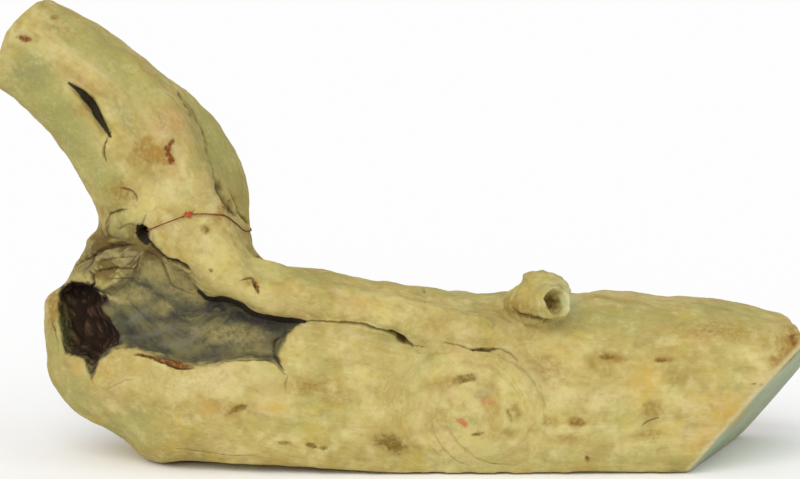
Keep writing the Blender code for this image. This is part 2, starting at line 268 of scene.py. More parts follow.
# Cracks on each side: half-width, depth, how dark their painted shade is, places. They taper to both
# ends.
Crack = namedtuple("Crack", "width depth dark line")
CRACKS = {
    "front": [
        Crack(0.9, 2.2, 0.55, [
            (-56, 75), (-39, 75), (-26, 74), (-18, 71.5), (-9, 69), (-1, 64), (7, 62),
        ]),
        Crack(1.8, 4.5, 1.0, [(-12, 70.5), (-8, 69), (-5, 66.5), (-1, 64), (1, 63)]),
        Crack(0.6, 1.4, 0.45, [(14, 65), (23, 63), (28, 61), (41, 61), (45, 60), (52, 55)]),
        Crack(1.3, 3.0, 1.0, [(28, 61), (35, 60.5), (41, 61)]),
        Crack(0.8, 1.6, 0.7, [(-146, 166), (-148, 162), (-149.5, 156), (-148, 151)]),
        Crack(0.7, 1.4, 0.6, [(-117, 184), (-108, 170.5), (-101, 154.5), (-95.5, 139)]),
        Crack(1.2, 2.4, 0.95, [(-98, 146), (-95.5, 139), (-93, 132.5), (-90.5, 127.5), (-87.5, 123)]),
        Crack(0.8, 1.4, 0.7, [(-92, 128), (-87, 122), (-82, 114)]),
        Crack(0.9, 1.2, 0.5, [(-92.5, 128), (-90, 130), (-88, 124), (-86, 120)]),
        Crack(1.0, 2.2, 1.0, [(-129.5, 114), (-124.7, 109), (-119.8, 104.8), (-115, 103.4), (-107, 99)]),
        Crack(1.6, 3.0, 1.0, [(-118, 104.2), (-114, 103), (-108, 99.5)]),
        Crack(0.9, 1.8, 0.75, [
            (-169, 96), (-164, 100), (-158, 103), (-154, 107), (-147.5, 109), (-134.5, 111),
        ]),
        Crack(1.4, 1.6, 0.8, [(-155, 106), (-148, 109), (-142, 109.5)]),
        Crack(0.7, 1.4, 0.6, [(-156, 97.5), (-149, 98.3), (-142.3, 99.3), (-133, 99)]),
        Crack(0.5, 1.2, 0.35, [(-155, 102), (-144, 104), (-133, 105)]),
        Crack(0.5, 1.0, 0.3, [(-150, 94), (-140, 94), (-132, 93)]),
        Crack(1.0, 1.8, 0.9, [(-158, 97.5), (-156, 94), (-156, 91), (-159, 88.5)]),
        Crack(0.7, 1.2, 0.5, [(-132, 107), (-133, 103), (-134, 99)]),
        Crack(0.8, 1.5, 0.65, [(-151, 120), (-149, 123), (-147, 125.5), (-143.5, 127), (-138, 128.5)]),
        Crack(0.8, 1.4, 0.65, [(-141.5, 138.5), (-137, 138), (-134, 135.5), (-133, 132)]),
        Crack(0.5, 1.0, 0.35, [(-144, 118), (-138, 121), (-134, 120)]),
        Crack(0.6, 0.9, 0.5, [(-129, 126), (-131, 122), (-132, 119)]),
        Crack(0.6, 1.0, 0.5, [(-132, 110), (-123, 103), (-120, 97), (-116.5, 90), (-106, 86)]),
        Crack(1.1, 2.0, 0.8, [(-135, 58.5), (-126, 57.5), (-119, 55), (-112, 52.5), (-106, 52.5)]),
        Crack(0.8, 1.4, 0.8, [
            (-61, 68), (-64.5, 66.3), (-67, 64), (-67.4, 59.3), (-65, 55.6), (-61, 51),
        ]),
        Crack(0.7, 1.0, 0.7, [(-90, 55.5), (-80, 56.5), (-72, 56.5), (-67, 55), (-60, 49)]),
        Crack(0.5, 1.0, 0.6, [(-179, 72), (-176, 65), (-174, 57)]),
        Crack(0.8, 1.2, 0.8, [(-82, 95.5), (-77, 96.5), (-75.5, 92), (-74, 89)]),
        Crack(0.8, 1.2, 0.8, [(-44, 96), (-37, 95), (-27, 93)]),
        Crack(1.1, 1.0, 0.6, [(-13, 90), (-11, 89.5), (-9, 89)]),
        Crack(0.8, 1.0, 0.6, [(5.5, 85.5), (6.5, 83)]),
        Crack(0.5, 0.8, 0.8, [(111.5, 24.5), (115, 27.5), (120, 28.5)]),
        Crack(0.4, 0.7, 0.3, [(-118, 12), (-108, 11), (-98, 9.5), (-86, 8), (-72, 10)]),
        Crack(0.6, 1.0, 0.15, [(-60, 49), (-61.5, 45), (-61, 41)]),
        Crack(0.4, 0.6, 0.2, [(-150, 40), (-142, 44), (-134, 47)]),
        Crack(1.6, 1.6, 0.4, [(49, 80), (52, 77.5), (57, 76), (64, 74.5), (70, 74.3), (77, 76)]),
        Crack(0.8, 0.9, 0.05, [(37, 60), (46, 56), (54, 51), (60, 43), (65, 33)]),
        Crack(0.8, 0.8, 0.03, [(22, 56), (37, 53), (47, 46), (53, 38)]),
        Crack(0.8, 0.8, 0.05, [(9, 34), (11, 20), (20, 8), (30, 3)]),
        Crack(0.8, 0.9, 0.03, [(16, 26), (24, 14), (36, 6), (52, 4)]),
    ],
    "back": [
        Crack(1.2, 3.0, 1.0, [(-30, 58), (0, 52), (28, 50), (60, 43), (86, 42)]),
        Crack(0.8, 1.8, 0.8, [(90, 68), (120, 62), (150, 58), (178, 52)]),
        Crack(0.6, 1.4, 0.6, [(-110, 30), (-90, 26), (-66, 28), (-40, 24)]),
        Crack(0.8, 2.0, 0.8, [(-130, 178), (-118, 152), (-110, 128), (-106, 104), (-98, 92)]),
        Crack(0.6, 1.2, 0.6, [(-172, 196), (-158, 184), (-150, 170)]),
        Crack(0.5, 1.0, 0.5, [(20, 16), (50, 14), (84, 18)]),
    ],
    "top": [
        Crack(0.8, 1.6, 0.8, [(-20, 14), (10, 18), (44, 14), (66, 16)]),
        Crack(0.6, 1.2, 0.6, [(90, 10), (120, 14), (158, 8)]),
    ],
}

# Deep openings in the front: each place with its half-width, and how deep the whole is.
SLIT = [
    (-166, 189.5, 0.2), (-161.6, 186, 1.0), (-157.7, 182, 1.5), (-153.9, 177, 1.6), (-150.6, 170.5, 1.4),
    (-147, 165, 0.9), (-146, 163.5, 0.3),
]
SLIT_DEPTH = 13
KNOT_HOLE = [(-132.5, 120.5, 1.2), (-132, 118, 2.3), (-131, 115, 2.1), (-129.5, 112.5, 1.0)]
KNOT_HOLE_DEPTH = 9
ROOT_GAP = [
    (-104, 88, 0.6), (-99, 84, 1.6), (-90, 84, 1.9), (-83, 81.5, 1.9), (-78, 77.5, 1.6), (-70, 76, 1.6),
    (-60, 74.8, 1.6), (-52, 75, 0.6),
]
ROOT_GAP_DEPTH = 7
OPENINGS = (SLIT, KNOT_HOLE, ROOT_GAP)

# Coloured marks, by side and kind: place, two radii, tilt in degrees, strength.
MARKS = {
    ("front", "pale"): [
        # (-150, 196) is painted highlight along the top of the ridge right of the slit.
        (-158, 165, 6, 12, 35, 0.5), (-150, 196, 15, 4, -40, 0.6), (-172, 205, 10, 4, -15, 0.5),
        (-118, 136, 12, 7, 0, 0.5), (-103, 116, 12, 8, 0, 0.4), (-100, 47, 34, 7, 4, 0.6),
        (-68, 44, 8, 9, 0, 0.5), (-136, 46, 16, 6, 20, 0.4), (10, 48, 20, 7, 0, 0.35),
        (56, 51, 17, 3.5, -42, 0.6), (30, 8, 28, 4, 20, 0.4), (92, 38, 14, 7, 0, 0.5),
        (128, 36, 12, 6, 30, 0.3), (176, 52, 8, 10, -40, 0.4), (-162, 48, 4, 4, 30, 0.6),
        # (-158, 200) is painted highlight along the top of the ridge right of the slit.
        (-70, 86, 18, 5, -10, 0.3), (28, 70, 16, 5, -8, 0.3), (-158, 200, 20, 1.6, -38, 0.7),
        (-128, 172, 2, 18, 30, 0.6), (-112, 150, 2, 20, 22, 0.6),
    ],
    ("front", "bone"): [
        (-127.8, 116, 1.3, 4, 8, 1.0), (-149, 84, 6, 1.0, -14, 0.9), (-131, 122.5, 3, 1.2, 20, 0.9),
    ],
    # Mostly painted shade: a greenish grey along the edges and undersides that face away from the light.
    ("front", "green"): [
        (-184, 190, 15, 14, -30, 0.9), (-172, 174, 12, 30, 32, 1.0), (-98, 158, 8, 30, 22, 0.9),
        (-150, 203, 34, 8, -38, 0.8), (-150, 142, 9, 26, 28, 0.8), (-134, 176, 9, 18, 35, 0.5),
        (-176, 60, 6, 18, 0, 0.7), (-174, 182, 12, 14, -40, 0.6), (-140, 196, 26, 5, -42, 0.6),
        (-165, 36, 14, 14, 40, 0.7), (-140, 24, 20, 7, 30, 0.7), (-40, 96, 40, 5, -6, 0.6),
        (95, 74, 40, 7, -2, 0.7), (150, 76, 30, 6, -8, 0.5), (40, 6, 60, 5, 0, 0.5),
        (110, 8, 40, 6, 0, 0.5), (-152, 218, 30, 4, -38, 0.5), (-110, 20, 20, 5, 0, 0.4),
    ],
    ("front", "grey"): [
        (-184, 195, 10, 9, -20, 0.6), (-138, 172, 3, 12, 32, 0.5), (-120, 168, 2, 14, 28, 0.5),
        (-139, 135, 5, 3, 30, 0.5), (34, 40, 5, 3, 0, 0.5),
    ],
    ("front", "brown"): [
        (-174, 221, 2, 1.3, 0, 0.9), (-126, 156, 10, 6, -20, 1.0), (-120, 146, 6, 3, 0, 0.4),
        # (-158, 190) is painted shade below the ridge right of the slit.
        (-140, 137, 8, 7, 0, 0.7), (-146, 128, 8, 4, 20, 0.5), (-158, 190, 16, 1.8, -38, 0.4),
        (-134, 152, 5, 4, 30, 0.6), (-136, 134, 5, 2, -60, 0.7), (-170, 214, 10, 3, -25, 0.4),
        (-160, 176, 4, 3, 0, 0.5), (-93, 126, 3, 8, -30, 0.7), (-178, 76, 3, 11, 0, 0.9),
        (-78, 95, 6, 3, 0, 0.6), (-88, 33, 14, 4, 0, 0.5), (-120, 34, 10, 3, 0, 0.5),
        (-50, 44, 9, 4, -8, 0.7), (-34, 38, 10, 6, 0, 0.5), (12, 24, 9, 4, -50, 0.4),
        (50, 32, 3, 5, 20, 0.7), (47, 22, 2.6, 2.6, 0, 0.7), (64, 52, 16, 7, -20, 0.5),
        (97, 57, 8, 2, -4, 0.9), (122, 56, 5, 1.5, 0, 0.9), (116, 33, 6, 5, 0, 0.7),
        (130, 48, 12, 5, 0, 0.4), (66, 27, 4, 3, 0, 0.6), (79, 27, 5, 2.5, 0, 0.9),
        (74, 18, 8, 3, 0, 0.5), (184, 60, 6, 9, -30, 0.9), (178, 54, 5, 5, 0, 0.8),
        (150, 68, 22, 4, -6, 0.6), (-30, 84, 16, 3, -8, 0.3), (52, 80, 8, 4, 0, 0.6),
        (16, 46, 12, 3, 15, 0.6), (114, 20, 9, 3, 0, 0.6), (10, 74, 14, 5, 0, 0.4),
        (-10, 16, 10, 4.5, -18, 0.4), (-148, 44, 8, 3, 20, 0.4),
    ],
    ("front", "ivory"): [(77, 84, 5, 9, 10, 1.0), (66, 92, 9, 2.5, 0, 0.5)],
    ("front", "gold"): [(-124, 157, 6, 5, 0, 0.5), (-64, 43, 10, 5, 0, 0.4)],
    ("front", "orange"): [
        (-164, 49, 3, 4, 40, 0.7), (-66, 34, 6, 3, 0, 0.8), (-98, 33, 5, 2.5, 0, 0.6),
        (72, 60, 12, 6, -30, 0.4), (112, 46, 9, 8, 20, 0.6), (157, 29, 9, 9, 40, 0.7),
        (140, 18, 10, 6, 40, 0.5), (-20, 84, 10, 3, 0, 0.5), (-150, 48, 12, 3, 30, 0.4),
        (-60, 92, 10, 3, 0, 0.4),
    ],
    ("front", "pink"): [
        (24, 26.5, 3.2, 1.5, -40, 1.0), (36, 37, 5, 2, 0, 0.5), (-122, 170, 10, 8, 0, 0.35),
    ],
    ("front", "olive"): [
        (-100, 119, 2.4, 2, -30, 0.9), (-84, 33, 5, 1.8, 20, 0.9), (-10, 15.5, 9, 4, -18, 1.0),
        (-49, 15, 3, 1.2, -20, 1.0), (-43, 14, 2.4, 1, 10, 0.9), (-62, 16, 4, 1.2, 0, 0.8),
        (32, 21, 3, 0.8, 10, 1.0), (26, 48, 6, 1.8, 10, 0.9), (95, 57, 3.5, 1, 0, 1.0),
        (121, 55.5, 3, 0.9, 0, 0.9), (166, 44, 1.3, 0.8, 0, 0.9), (170, 43.5, 1.3, 0.8, 0, 0.9),
        # (59, 76) is painted shade in the crease under the stub.
        (68.5, 83, 3, 4, 0, 1.0), (73, 91, 4, 1.2, -20, 0.7), (59, 76, 11, 1.8, -12, 0.8),
        (80, 26.5, 3.5, 1.6, 0, 0.6), (47, 30, 1.2, 4, 25, 0.7),
    ],
    ("front", "rust"): [
        (-188, 211, 4, 1.7, -8, 1.0), (-117, 160.5, 2.4, 1.3, 40, 1.0),
        (-118.6, 157, 3.2, 1.6, 90, 1.0), (-117, 152.5, 3, 1.4, -65, 1.0),
        (-120, 55.8, 15, 1.1, -13, 0.9), (-114, 53.8, 7, 1.3, -12, 0.9), (-97, 100, 1.2, 0.8, 0, 0.9),
        (-75, 92, 1.2, 3, 15, 0.9), (85, 8, 1.2, 2.2, 20, 0.8), (187, 64, 2, 3, 0, 0.8),
        (-124, 79, 2, 1.6, 0, 0.4),
    ],
    # Painted shadow in the recess, mostly under the root's overhanging edge.
    ("front", "recess_shadow"): [
        (-76, 74, 16, 3.5, -12, 1.0), (-98, 80, 12, 4, 6, 0.9), (-118, 76, 14, 3, 8, 0.8),
        (-128, 66, 14, 4, 12, 0.6), (-66, 66, 6, 6, 0, 0.5), (-100, 56, 30, 3, 0, 0.5),
        (-128, 84, 8, 4, -20, 0.4),
    ],
    ("front", "mist"): [
        (-124, 68, 12, 2.0, 15, 0.5), (-107, 66, 3, 6, -30, 0.5), (-133, 76, 3, 8, -50, 0.5),
        (-116, 62, 8, 2, 0, 0.6), (-142, 95, 14, 4, 0, 0.4), (-120, 90, 8, 3, -30, 0.3),
    ],
    ("front", "straw"): [
        (-88, 67, 19, 5, -5, 0.8), (-122, 80, 6, 4, 0, 0.7), (-112, 92, 12, 7, -40, 0.9),
        (-138, 86, 12, 4, -10, 0.8), (-126, 98, 12, 6, -20, 0.8), (-104, 86, 6, 3, 0, 0.8),
        (-78, 60, 14, 3, 0, 0.5), (-144, 83, 8, 1.8, -8, 0.9),
    ],
    ("back", "brown"): [
        (40, 52, 20, 6, -6, 0.6), (120, 40, 16, 8, 0, 0.6), (-140, 160, 9, 7, 0, 0.6),
        (-20, 30, 12, 5, 0, 0.7), (-90, 40, 10, 5, 0, 0.5),
    ],
    ("back", "green"): [
        (-150, 60, 12, 16, 0, 0.6), (60, 74, 60, 6, 0, 0.6), (-120, 200, 40, 8, 38, 0.5),
    ],
    ("back", "pale"): [(80, 24, 26, 8, 0, 0.5), (-90, 60, 20, 8, 0, 0.5), (-150, 180, 8, 20, 40, 0.5)],
    ("back", "grey"): [(-120, 84, 22, 10, 0, 0.5), (20, 12, 40, 6, 0, 0.4)],
    ("back", "orange"): [(150, 30, 14, 10, 30, 0.5), (-60, 30, 14, 5, 0, 0.4)],
    ("back", "rust"): [(60, 34, 3, 1.4, 20, 0.9), (-150, 190, 3, 1.4, -30, 0.9)],
    ("top", "green"): [(130, 26, 14, 6, 0, 0.6), (40, 0, 40, 8, 0, 0.5)],
    ("top", "brown"): [(30, 10, 22, 5, 0, 0.5), (100, -14, 20, 4, 0, 0.4)],
    ("top", "pale"): [(100, 0, 30, 7, 0, 0.5)],
}

WHORL_CENTRE = (28.0, 33.0)
WHORL_REACH = 40.0
WHORL_CORE = 20.0

# The hole that the thread passes through: a line of places and radii.
CHANNEL = [
    (-124.5, -60, 118, 2.2), (-124.5, -40, 118, 2.2), (-124, -28, 117.5, 2.1), (-127, -8, 112, 2.0),
    (-119, 12, 120, 2.0), (-122, 31, 118, 2.4), (-123, 60, 116, 3.0),
]
# The part of that line inside the wood
CHANNEL_MOUTHS = slice(2, 6)

# The thread's two ways from its knot: round the neck to the hole's back mouth, and
# straight to its front mouth. Between the mouths it runs along the hole.
KNOT_PLACE = (-102, -43, 126.6)
ROUND_THE_NECK = [
    KNOT_PLACE, (-93, -42, 127.6), (-88, -37, 127), (-83.5, -27, 122.5), (-80, -14, 116.5), (-78, 4, 112),
    (-79, 22, 110), (-88, 37, 111), (-100, 42, 113), (-114, 40, 116), CHANNEL[5][:3],
]
TO_THE_HOLE = [CHANNEL[2][:3], (-122, -42, 119), (-111, -44, 123), KNOT_PLACE]
THREAD_PULLS = 150
THREAD_STEP = 0.2
PLY_RADIUS = 0.23
PLY_OFFSET = 0.17
PLY_TURN = 2.4
STAND_OFF = PLY_RADIUS + PLY_OFFSET + 0.1
KNOT_SIZE = (0.66, 0.46, 0.4)
KNOT_RADIUS = 0.42
KNOT_LIFT = 0.9
TAIL_LENGTH = 3.4
TAIL_CLEARANCE = 0.45


# ---------------------------------------------------------------- forms


def catmull_rom(rows, samples):
    """Rows of numbers joined by a smooth curve that passes through each row."""
    rows = [np.array(row, float) for row in rows]
    padded = [2 * rows[0] - rows[1], *rows, 2 * rows[-1] - rows[-2]]
    found = []
    for a, b, c, d in zip(padded, padded[1:], padded[2:], padded[3:]):
        for t in np.linspace(0, 1, samples, endpoint=False):
            cubic = (3 * b - a - 3 * c + d) * t**3
            found.append(0.5 * (2 * b + (c - a) * t + (2 * a - 5 * b + 4 * c - d) * t**2 + cubic))
    return np.array([*found, rows[-1]])


def add_loft(shape, stations, lobes):
    """A closed skin through the stations' squarish sections, with lobes that turn along it."""
    rows = catmull_rom(stations, SAMPLES_PER_SPAN)
    rings = []
    for i, row in enumerate(rows):
        along = rows[min(i + 1, len(rows) - 1), :3] - rows[max(i - 1, 0), :3]
        up = Vector((-along[2], 0, along[0])).normalized()
        turn = 2 * math.pi * i / len(rows)
        ring = []
        for k in range(RING_POINTS):
            angle = 2 * math.pi * k / RING_POINTS
            sine, cosine = math.sin(angle), math.cos(angle)
            swell = (abs(sine) ** SQUARENESS + abs(cosine) ** SQUARENESS) ** (-1 / SQUARENESS)
            swell += lobes * (math.sin(3 * angle + turn) + 0.6 * math.cos(5 * angle - 2 * turn))
            point = Vector(row[:3]) + up * (row[3] * swell * sine)
            point.y += row[4] * swell * cosine
            ring.append(shape.verts.new(point))
        rings.append(ring)
    for lower, upper in zip(rings, rings[1:]):
        for k in range(RING_POINTS):
            after = (k + 1) % RING_POINTS
            shape.faces.new((lower[k], lower[after], upper[after], upper[k]))
    shape.faces.new(list(reversed(rings[0])))
    shape.faces.new(rings[-1])


def add_lump(shape, lump):
    """An ellipsoid, tilted about Y."""
    place = (
        Matrix.Translation(Vector((lump.x, lump.y, lump.z)))
        @ Matrix.Rotation(math.radians(lump.tilt), 4, "Y")
        @ Matrix.Diagonal((lump.rx, lump.ry, lump.rz, 1))
    )
    bmesh.ops.create_icosphere(shape, subdivisions=4, radius=1, matrix=place)


def object_of(name, data):
    made = bpy.data.objects.new(name, data)
    bpy.context.scene.collection.objects.link(made)
    return made


def mesh_from(name, shape):
    """The finished bmesh shape as a mesh."""
    mesh = bpy.data.meshes.new(name)
    shape.to_mesh(mesh)
    shape.free()
    return mesh


def closed_mesh(name, shape):
    """The same, with its faces turned to point out."""
    bmesh.ops.recalc_face_normals(shape, faces=shape.faces)
    return mesh_from(name, shape)


def way_along(points):
    """At each point of a line: its direction, and two directions across it that don't twist."""
    ways = np.gradient(points, axis=0)
    ways /= np.linalg.norm(ways, axis=1, keepdims=True)
    side = np.cross(ways[0], (0.3, 0.2, 1.0))
    sides = []
    for way in ways:
        side = side - way * (side @ way)
        side /= np.linalg.norm(side)
        sides.append(side)
    return ways, np.array(sides), np.cross(ways, sides)


def add_tube(shape, points, radii, corners):
    """A closed round tube along a line of points. Returns the vertices made."""
    _, sides, others = way_along(points)
    rings = []
    for point, radius, side, other in zip(points, radii, sides, others):
        turns = [2 * math.pi * k / corners for k in range(corners)]
        spokes = [math.cos(turn) * side + math.sin(turn) * other for turn in turns]
        rings.append([shape.verts.new(point + radius * spoke) for spoke in spokes])
    for lower, upper in zip(rings, rings[1:]):
        for k in range(corners):
            after = (k + 1) % corners
            shape.faces.new((lower[k], lower[after], upper[after], upper[k]))
    shape.faces.new(list(reversed(rings[0])))
    shape.faces.new(rings[-1])
    return [corner for ring in rings for corner in ring]


def tube_cutter(name, line, shift):
    """A round tube along a line of places and radii, to cut with."""
    shape = bmesh.new()
    rows = catmull_rom(line, 8)
    add_tube(shape, rows[:, :3] - shift, rows[:, 3], 20)
    return object_of(name, closed_mesh(name, shape))


def remeshed(name, mesh, voxel, smoothing, cutter=None):
    """The mesh as one skin of even quads, as numpy points and quads. Millimetres in and out."""
    thing = object_of(name, mesh)
    if cutter:
        cut = thing.modifiers.new("cut", "BOOLEAN")
        cut.object = cutter
        cut.solver = "EXACT"
    remesh = thing.modifiers.new("join", "REMESH")
    remesh.mode = "VOXEL"
    remesh.voxel_size = voxel
    if smoothing:
        smooth = thing.modifiers.new("flow", "SMOOTH")
        smooth.factor = 0.5
        smooth.iterations = smoothing
    bpy.context.view_layer.update()
    made = bpy.data.meshes.new_from_object(thing.evaluated_get(bpy.context.evaluated_depsgraph_get()))
    bpy.data.objects.remove(thing)
    bpy.data.meshes.remove(mesh)
    if cutter:
        bpy.data.objects.remove(cutter)
    points = np.empty(len(made.vertices) * 3)
    made.vertices.foreach_get("co", points)
    quads = np.empty(len(made.loops), np.int32)
    made.loops.foreach_get("vertex_index", quads)
    bpy.data.meshes.remove(made)
    return points.reshape(-1, 3), quads.reshape(-1, 4)


def mesh_of(name, points, quads):
    """A mesh of those points and quads."""
    made = bpy.data.meshes.new(name)
    made.vertices.add(len(points))
    made.vertices.foreach_set("co", np.ascontiguousarray(points, np.float32).ravel())
    made.loops.add(quads.size)
    made.loops.foreach_set("vertex_index", quads.ravel())
    made.polygons.add(len(quads))
    made.polygons.foreach_set("loop_start", np.arange(0, quads.size, 4, dtype=np.int32))
    made.update(calc_edges=True)
    return made


def grown_form():
    """The masses grown together into one smooth skin."""
    shape = bmesh.new()
    for stations, lobes in ((TRUNK, 0.018), (LIMB, 0.02), (RIB, 0.015), (ROOT, 0.03), (BACK_ROOT, 0.03)):
        add_loft(shape, stations, lobes)
    for lump in LUMPS:
        add_lump(shape, lump)
    return remeshed("form", closed_mesh("form", shape), FORM_VOXEL, FORM_SMOOTHING)


def broken_stub():
    """The ragged hollow stub, crisper than the form it stands on."""
    shape = bmesh.new()
    core = catmull_rom(STUB, 6)
    add_tube(shape, core[:, :3], core[:, 3], 32)
    add_loft(shape, STUB_LIP, 0.06)
    points, quads = remeshed("stub", closed_mesh("stub", shape), STUB_VOXEL, 2)
    cutter = tube_cutter("stub_hollow", STUB_HOLLOW, 0)
    points, quads = remeshed("stub", mesh_of("stub", points, quads), STUB_VOXEL, 1, cutter)
    ragged = 1.1 * layered(points, 8, 3, 61) + 1.1 * noise(points, 3.2, 67)
    return points + normals_of(points, quads) * ragged[:, None], quads


def normals_of(points, quads):
    """Each point's outward direction, averaged from its quads."""
    across = points[quads[:, 2]] - points[quads[:, 0]]
    along = points[quads[:, 3]] - points[quads[:, 1]]
    faces = np.cross(across, along)
    total = np.zeros_like(points)
    for corner in range(4):
        np.add.at(total, quads[:, corner], faces)
    return total / np.maximum(np.linalg.norm(total, axis=1, keepdims=True), 1e-9)


def heights_over(points, face):
    """(how far each point lies beyond a face, the face's outward direction)"""
    normal = np.array(face.normal, float)
    normal /= np.linalg.norm(normal)
    return (points - np.array(face.point)) @ normal, normal


def flattened(points, face):
    """Points beyond a face moved straight back onto it."""
    beyond, normal = heights_over(points, face)
    return points - np.outer(np.maximum(beyond, 0), normal)


# ---------------------------------------------------------------- numbers


def smoothstep(low, high, value):
    """Zero at low and one at high, smooth between. Low may be the larger."""
    t = np.clip((value - low) / (high - low), 0, 1)
    return t * t * (3 - 2 * t)


def gradient_table():
    """Unit directions for the noise to pick from, the same each run."""
    rng = np.random.default_rng(11)
    found = rng.normal(size=(512, 3))
    return found / np.linalg.norm(found, axis=1, keepdims=True)


GRADIENTS = gradient_table()
NOISE_PRIMES = np.array([73856093, 19349663, 83492791])


def noise(points, size, seed=0):
    """Smooth noise from about -1 to 1 with features of that size."""
    scaled = points / size + seed * 17.31
    cell = np.floor(scaled).astype(np.int64)
    part = scaled - cell
    fade = part**3 * (part * (part * 6 - 15) + 10)
    total = np.zeros(len(points))
    for corner in product((0, 1), repeat=3):
        x, y, z = ((cell + corner) * NOISE_PRIMES).T
        mixed = x ^ y ^ z
        slope = GRADIENTS[(mixed ^ (mixed >> 9)) & 511]
        weight = np.where(corner, fade, 1 - fade).prod(1)
        total += weight * (slope * (part - corner)).sum(1)
    return total * 1.6


def layered(points, size, layers, seed=0):
    """Noise with finer layers added, each half the size and half the strength."""
    total = sum(noise(points, size / 2**i, seed + i) / 2**i for i in range(layers))
    return total / (2 - 0.5 ** (layers - 1))


def from_line(spots, line):
    """Each spot's distance from a line of places, and how far along it is, from 0 to 1."""
    line = np.array(line, float)
    lengths = np.linalg.norm(np.diff(line, axis=0), axis=1)
    nearest = np.full(len(spots), 1e9)
    along = np.zeros(len(spots))
    start = 0.0
    for a, b, length in zip(line, line[1:], lengths):
        t = np.clip((spots - a) @ (b - a) / length**2, 0, 1)
        distance = np.linalg.norm(spots - a - t[:, None] * (b - a), axis=1)
        closer = distance < nearest
        nearest[closer] = distance[closer]
        along[closer] = (start + t * length)[closer]
        start += length
    return nearest, along / start


def inside(spots, outline):
    """Each spot's distance inside a closed outline, below zero outside it."""
    outline = np.array(outline, float)
    distance = from_line(spots, [*outline, outline[0]])[0]
    crossings = np.zeros(len(spots), int)
    for (ax, az), (bx, bz) in zip(outline, np.roll(outline, -1, axis=0)):
        if az == bz:
            continue
        spans = (az > spots[:, 1]) != (bz > spots[:, 1])
        crossings += spans & (spots[:, 0] < ax + (spots[:, 1] - az) * (bx - ax) / (bz - az))
    return np.where(crossings % 2 == 1, distance, -distance)


def rounded(line):
    return catmull_rom(line, 4)


def each(table):
    """Every entry of a table that is kept by side, as (side, what the entry holds)."""
    return [(side, *entry) for side, entries in table.items() for entry in entries]


class Skin:
    """Points of the wood with their normals, and what each side sees of them."""

    def __init__(self, points, normals):
        self.points = points
        self.normals = normals
        self.waver = np.stack(
            [layered(points, 7, 3, seed) + 0.35 * noise(points, 2.6, seed + 60) for seed in (3, 8)],
            axis=1,
        )

    def seen(self, side):
        """(flat places, how far each point faces that side from 0 to 1)"""
        x, y, z = self.points.T
        nx, ny, nz = self.normals.T
        if side == "top":
            return np.stack([x, y], axis=1), smoothstep(0.3, 0.6, nz)
        facing = -ny if side == "front" else ny
        return np.stack([x, z], axis=1), smoothstep(-0.15, 0.2, facing)

    def near_line(self, side, line, reach, waver=0.5):
        """(which points are near, their distances, how far along, how far they face the side)"""
        flat, shown = self.seen(side)
        line = rounded(line)[:, :2]
        low, high = line.min(0) - reach, line.max(0) + reach
        near = np.flatnonzero(((flat > low) & (flat < high)).all(1) & (shown > 0))
        distance, along = from_line(flat[near] + self.waver[near] * waver, line)
        kept = distance < reach
        return near[kept], distance[kept], along[kept], shown[near[kept]]


def tapered(along):
    """One in the middle of a line and nearly zero at both ends."""
    return np.sqrt(np.clip(np.sin(np.pi * np.clip(along, 0, 1)), 0, 1)) * 0.9 + 0.1


# ---------------------------------------------------------------- carving


def swell(skin):
    """Broad swells and dips, along the normals."""
    lift = np.zeros(len(skin.points))
    for side, width, height, line in each(SWELLS):
        near, distance, along, shown = skin.near_line(side, line, width * 2.6, 2)
        lift[near] += height * np.exp(-((distance / width) ** 2)) * tapered(along) * shown
    return lift


def recess_depth(skin):
    """(how far the recess and the rot hole are cut back, how far inside each of them a point is)"""
    flat, shown = skin.seen("front")
    shown = shown * (skin.points[:, 1] < 0)
    ragged = flat + skin.waver * 1.6
    in_recess = inside(ragged, RECESS)
    in_rot = inside(ragged, ROT)
    weights = [1 / (((flat - (s.x, s.z)) ** 2).sum(1) + 25) ** 1.5 for s in SOUNDINGS]
    total = sum(weights)
    depth = sum(w * s.depth for w, s in zip(weights, SOUNDINGS)) / total
    edge = sum(w * s.edge for w, s in zip(weights, SOUNDINGS)) / total
    carved = depth * smoothstep(0, 1, in_recess / edge) * shown
    carved += ROT_DEPTH * smoothstep(0, ROT_EDGE, in_rot) * shown
    hidden = shown <= 0.5
    return carved, np.where(hidden, FAR_OUTSIDE, in_recess), np.where(hidden, FAR_OUTSIDE, in_rot)


def opening(skin, places, depth, edge=0.9):
    """How far a tapering opening is cut back from the front."""
    flat, shown = skin.seen("front")
    rows = rounded(places)
    low, high = rows[:, :2].min(0) - 8, rows[:, :2].max(0) + 8
    near = np.flatnonzero(((flat > low) & (flat < high)).all(1) & (shown > 0.3))
    cut = np.zeros(len(flat))
    spots = flat[near] + skin.waver[near] * 0.4
    distance, along = from_line(spots, rows[:, :2])
    reach = np.interp(along, np.linspace(0, 1, len(rows)), rows[:, 2])
    cut[near] = depth * smoothstep(edge, -edge * 0.6, distance - reach)
    return cut


def carve_form(points, quads):
    """The grown form with its swells, the recess, the rot hole and the other openings."""
    skin = Skin(points, normals_of(points, quads))
    lumps = 1.4 * layered(points, 30, 3, 21) + 1.0 * noise(points, 13, 25)
    skin.points = points + skin.normals * (swell(skin) + lumps)[:, None]
    skin.normals = normals_of(skin.points, quads)
    carved = recess_depth(skin)[0]
    carved = np.maximum(carved, opening(skin, SLIT, SLIT_DEPTH))
    carved = np.maximum(carved, opening(skin, KNOT_HOLE, KNOT_HOLE_DEPTH))
    carved += opening(skin, ROOT_GAP, ROOT_GAP_DEPTH, 1.4)
    moved = skin.points.copy()
    moved[:, 1] += carved
    return moved


# ---------------------------------------------------------------- fine work


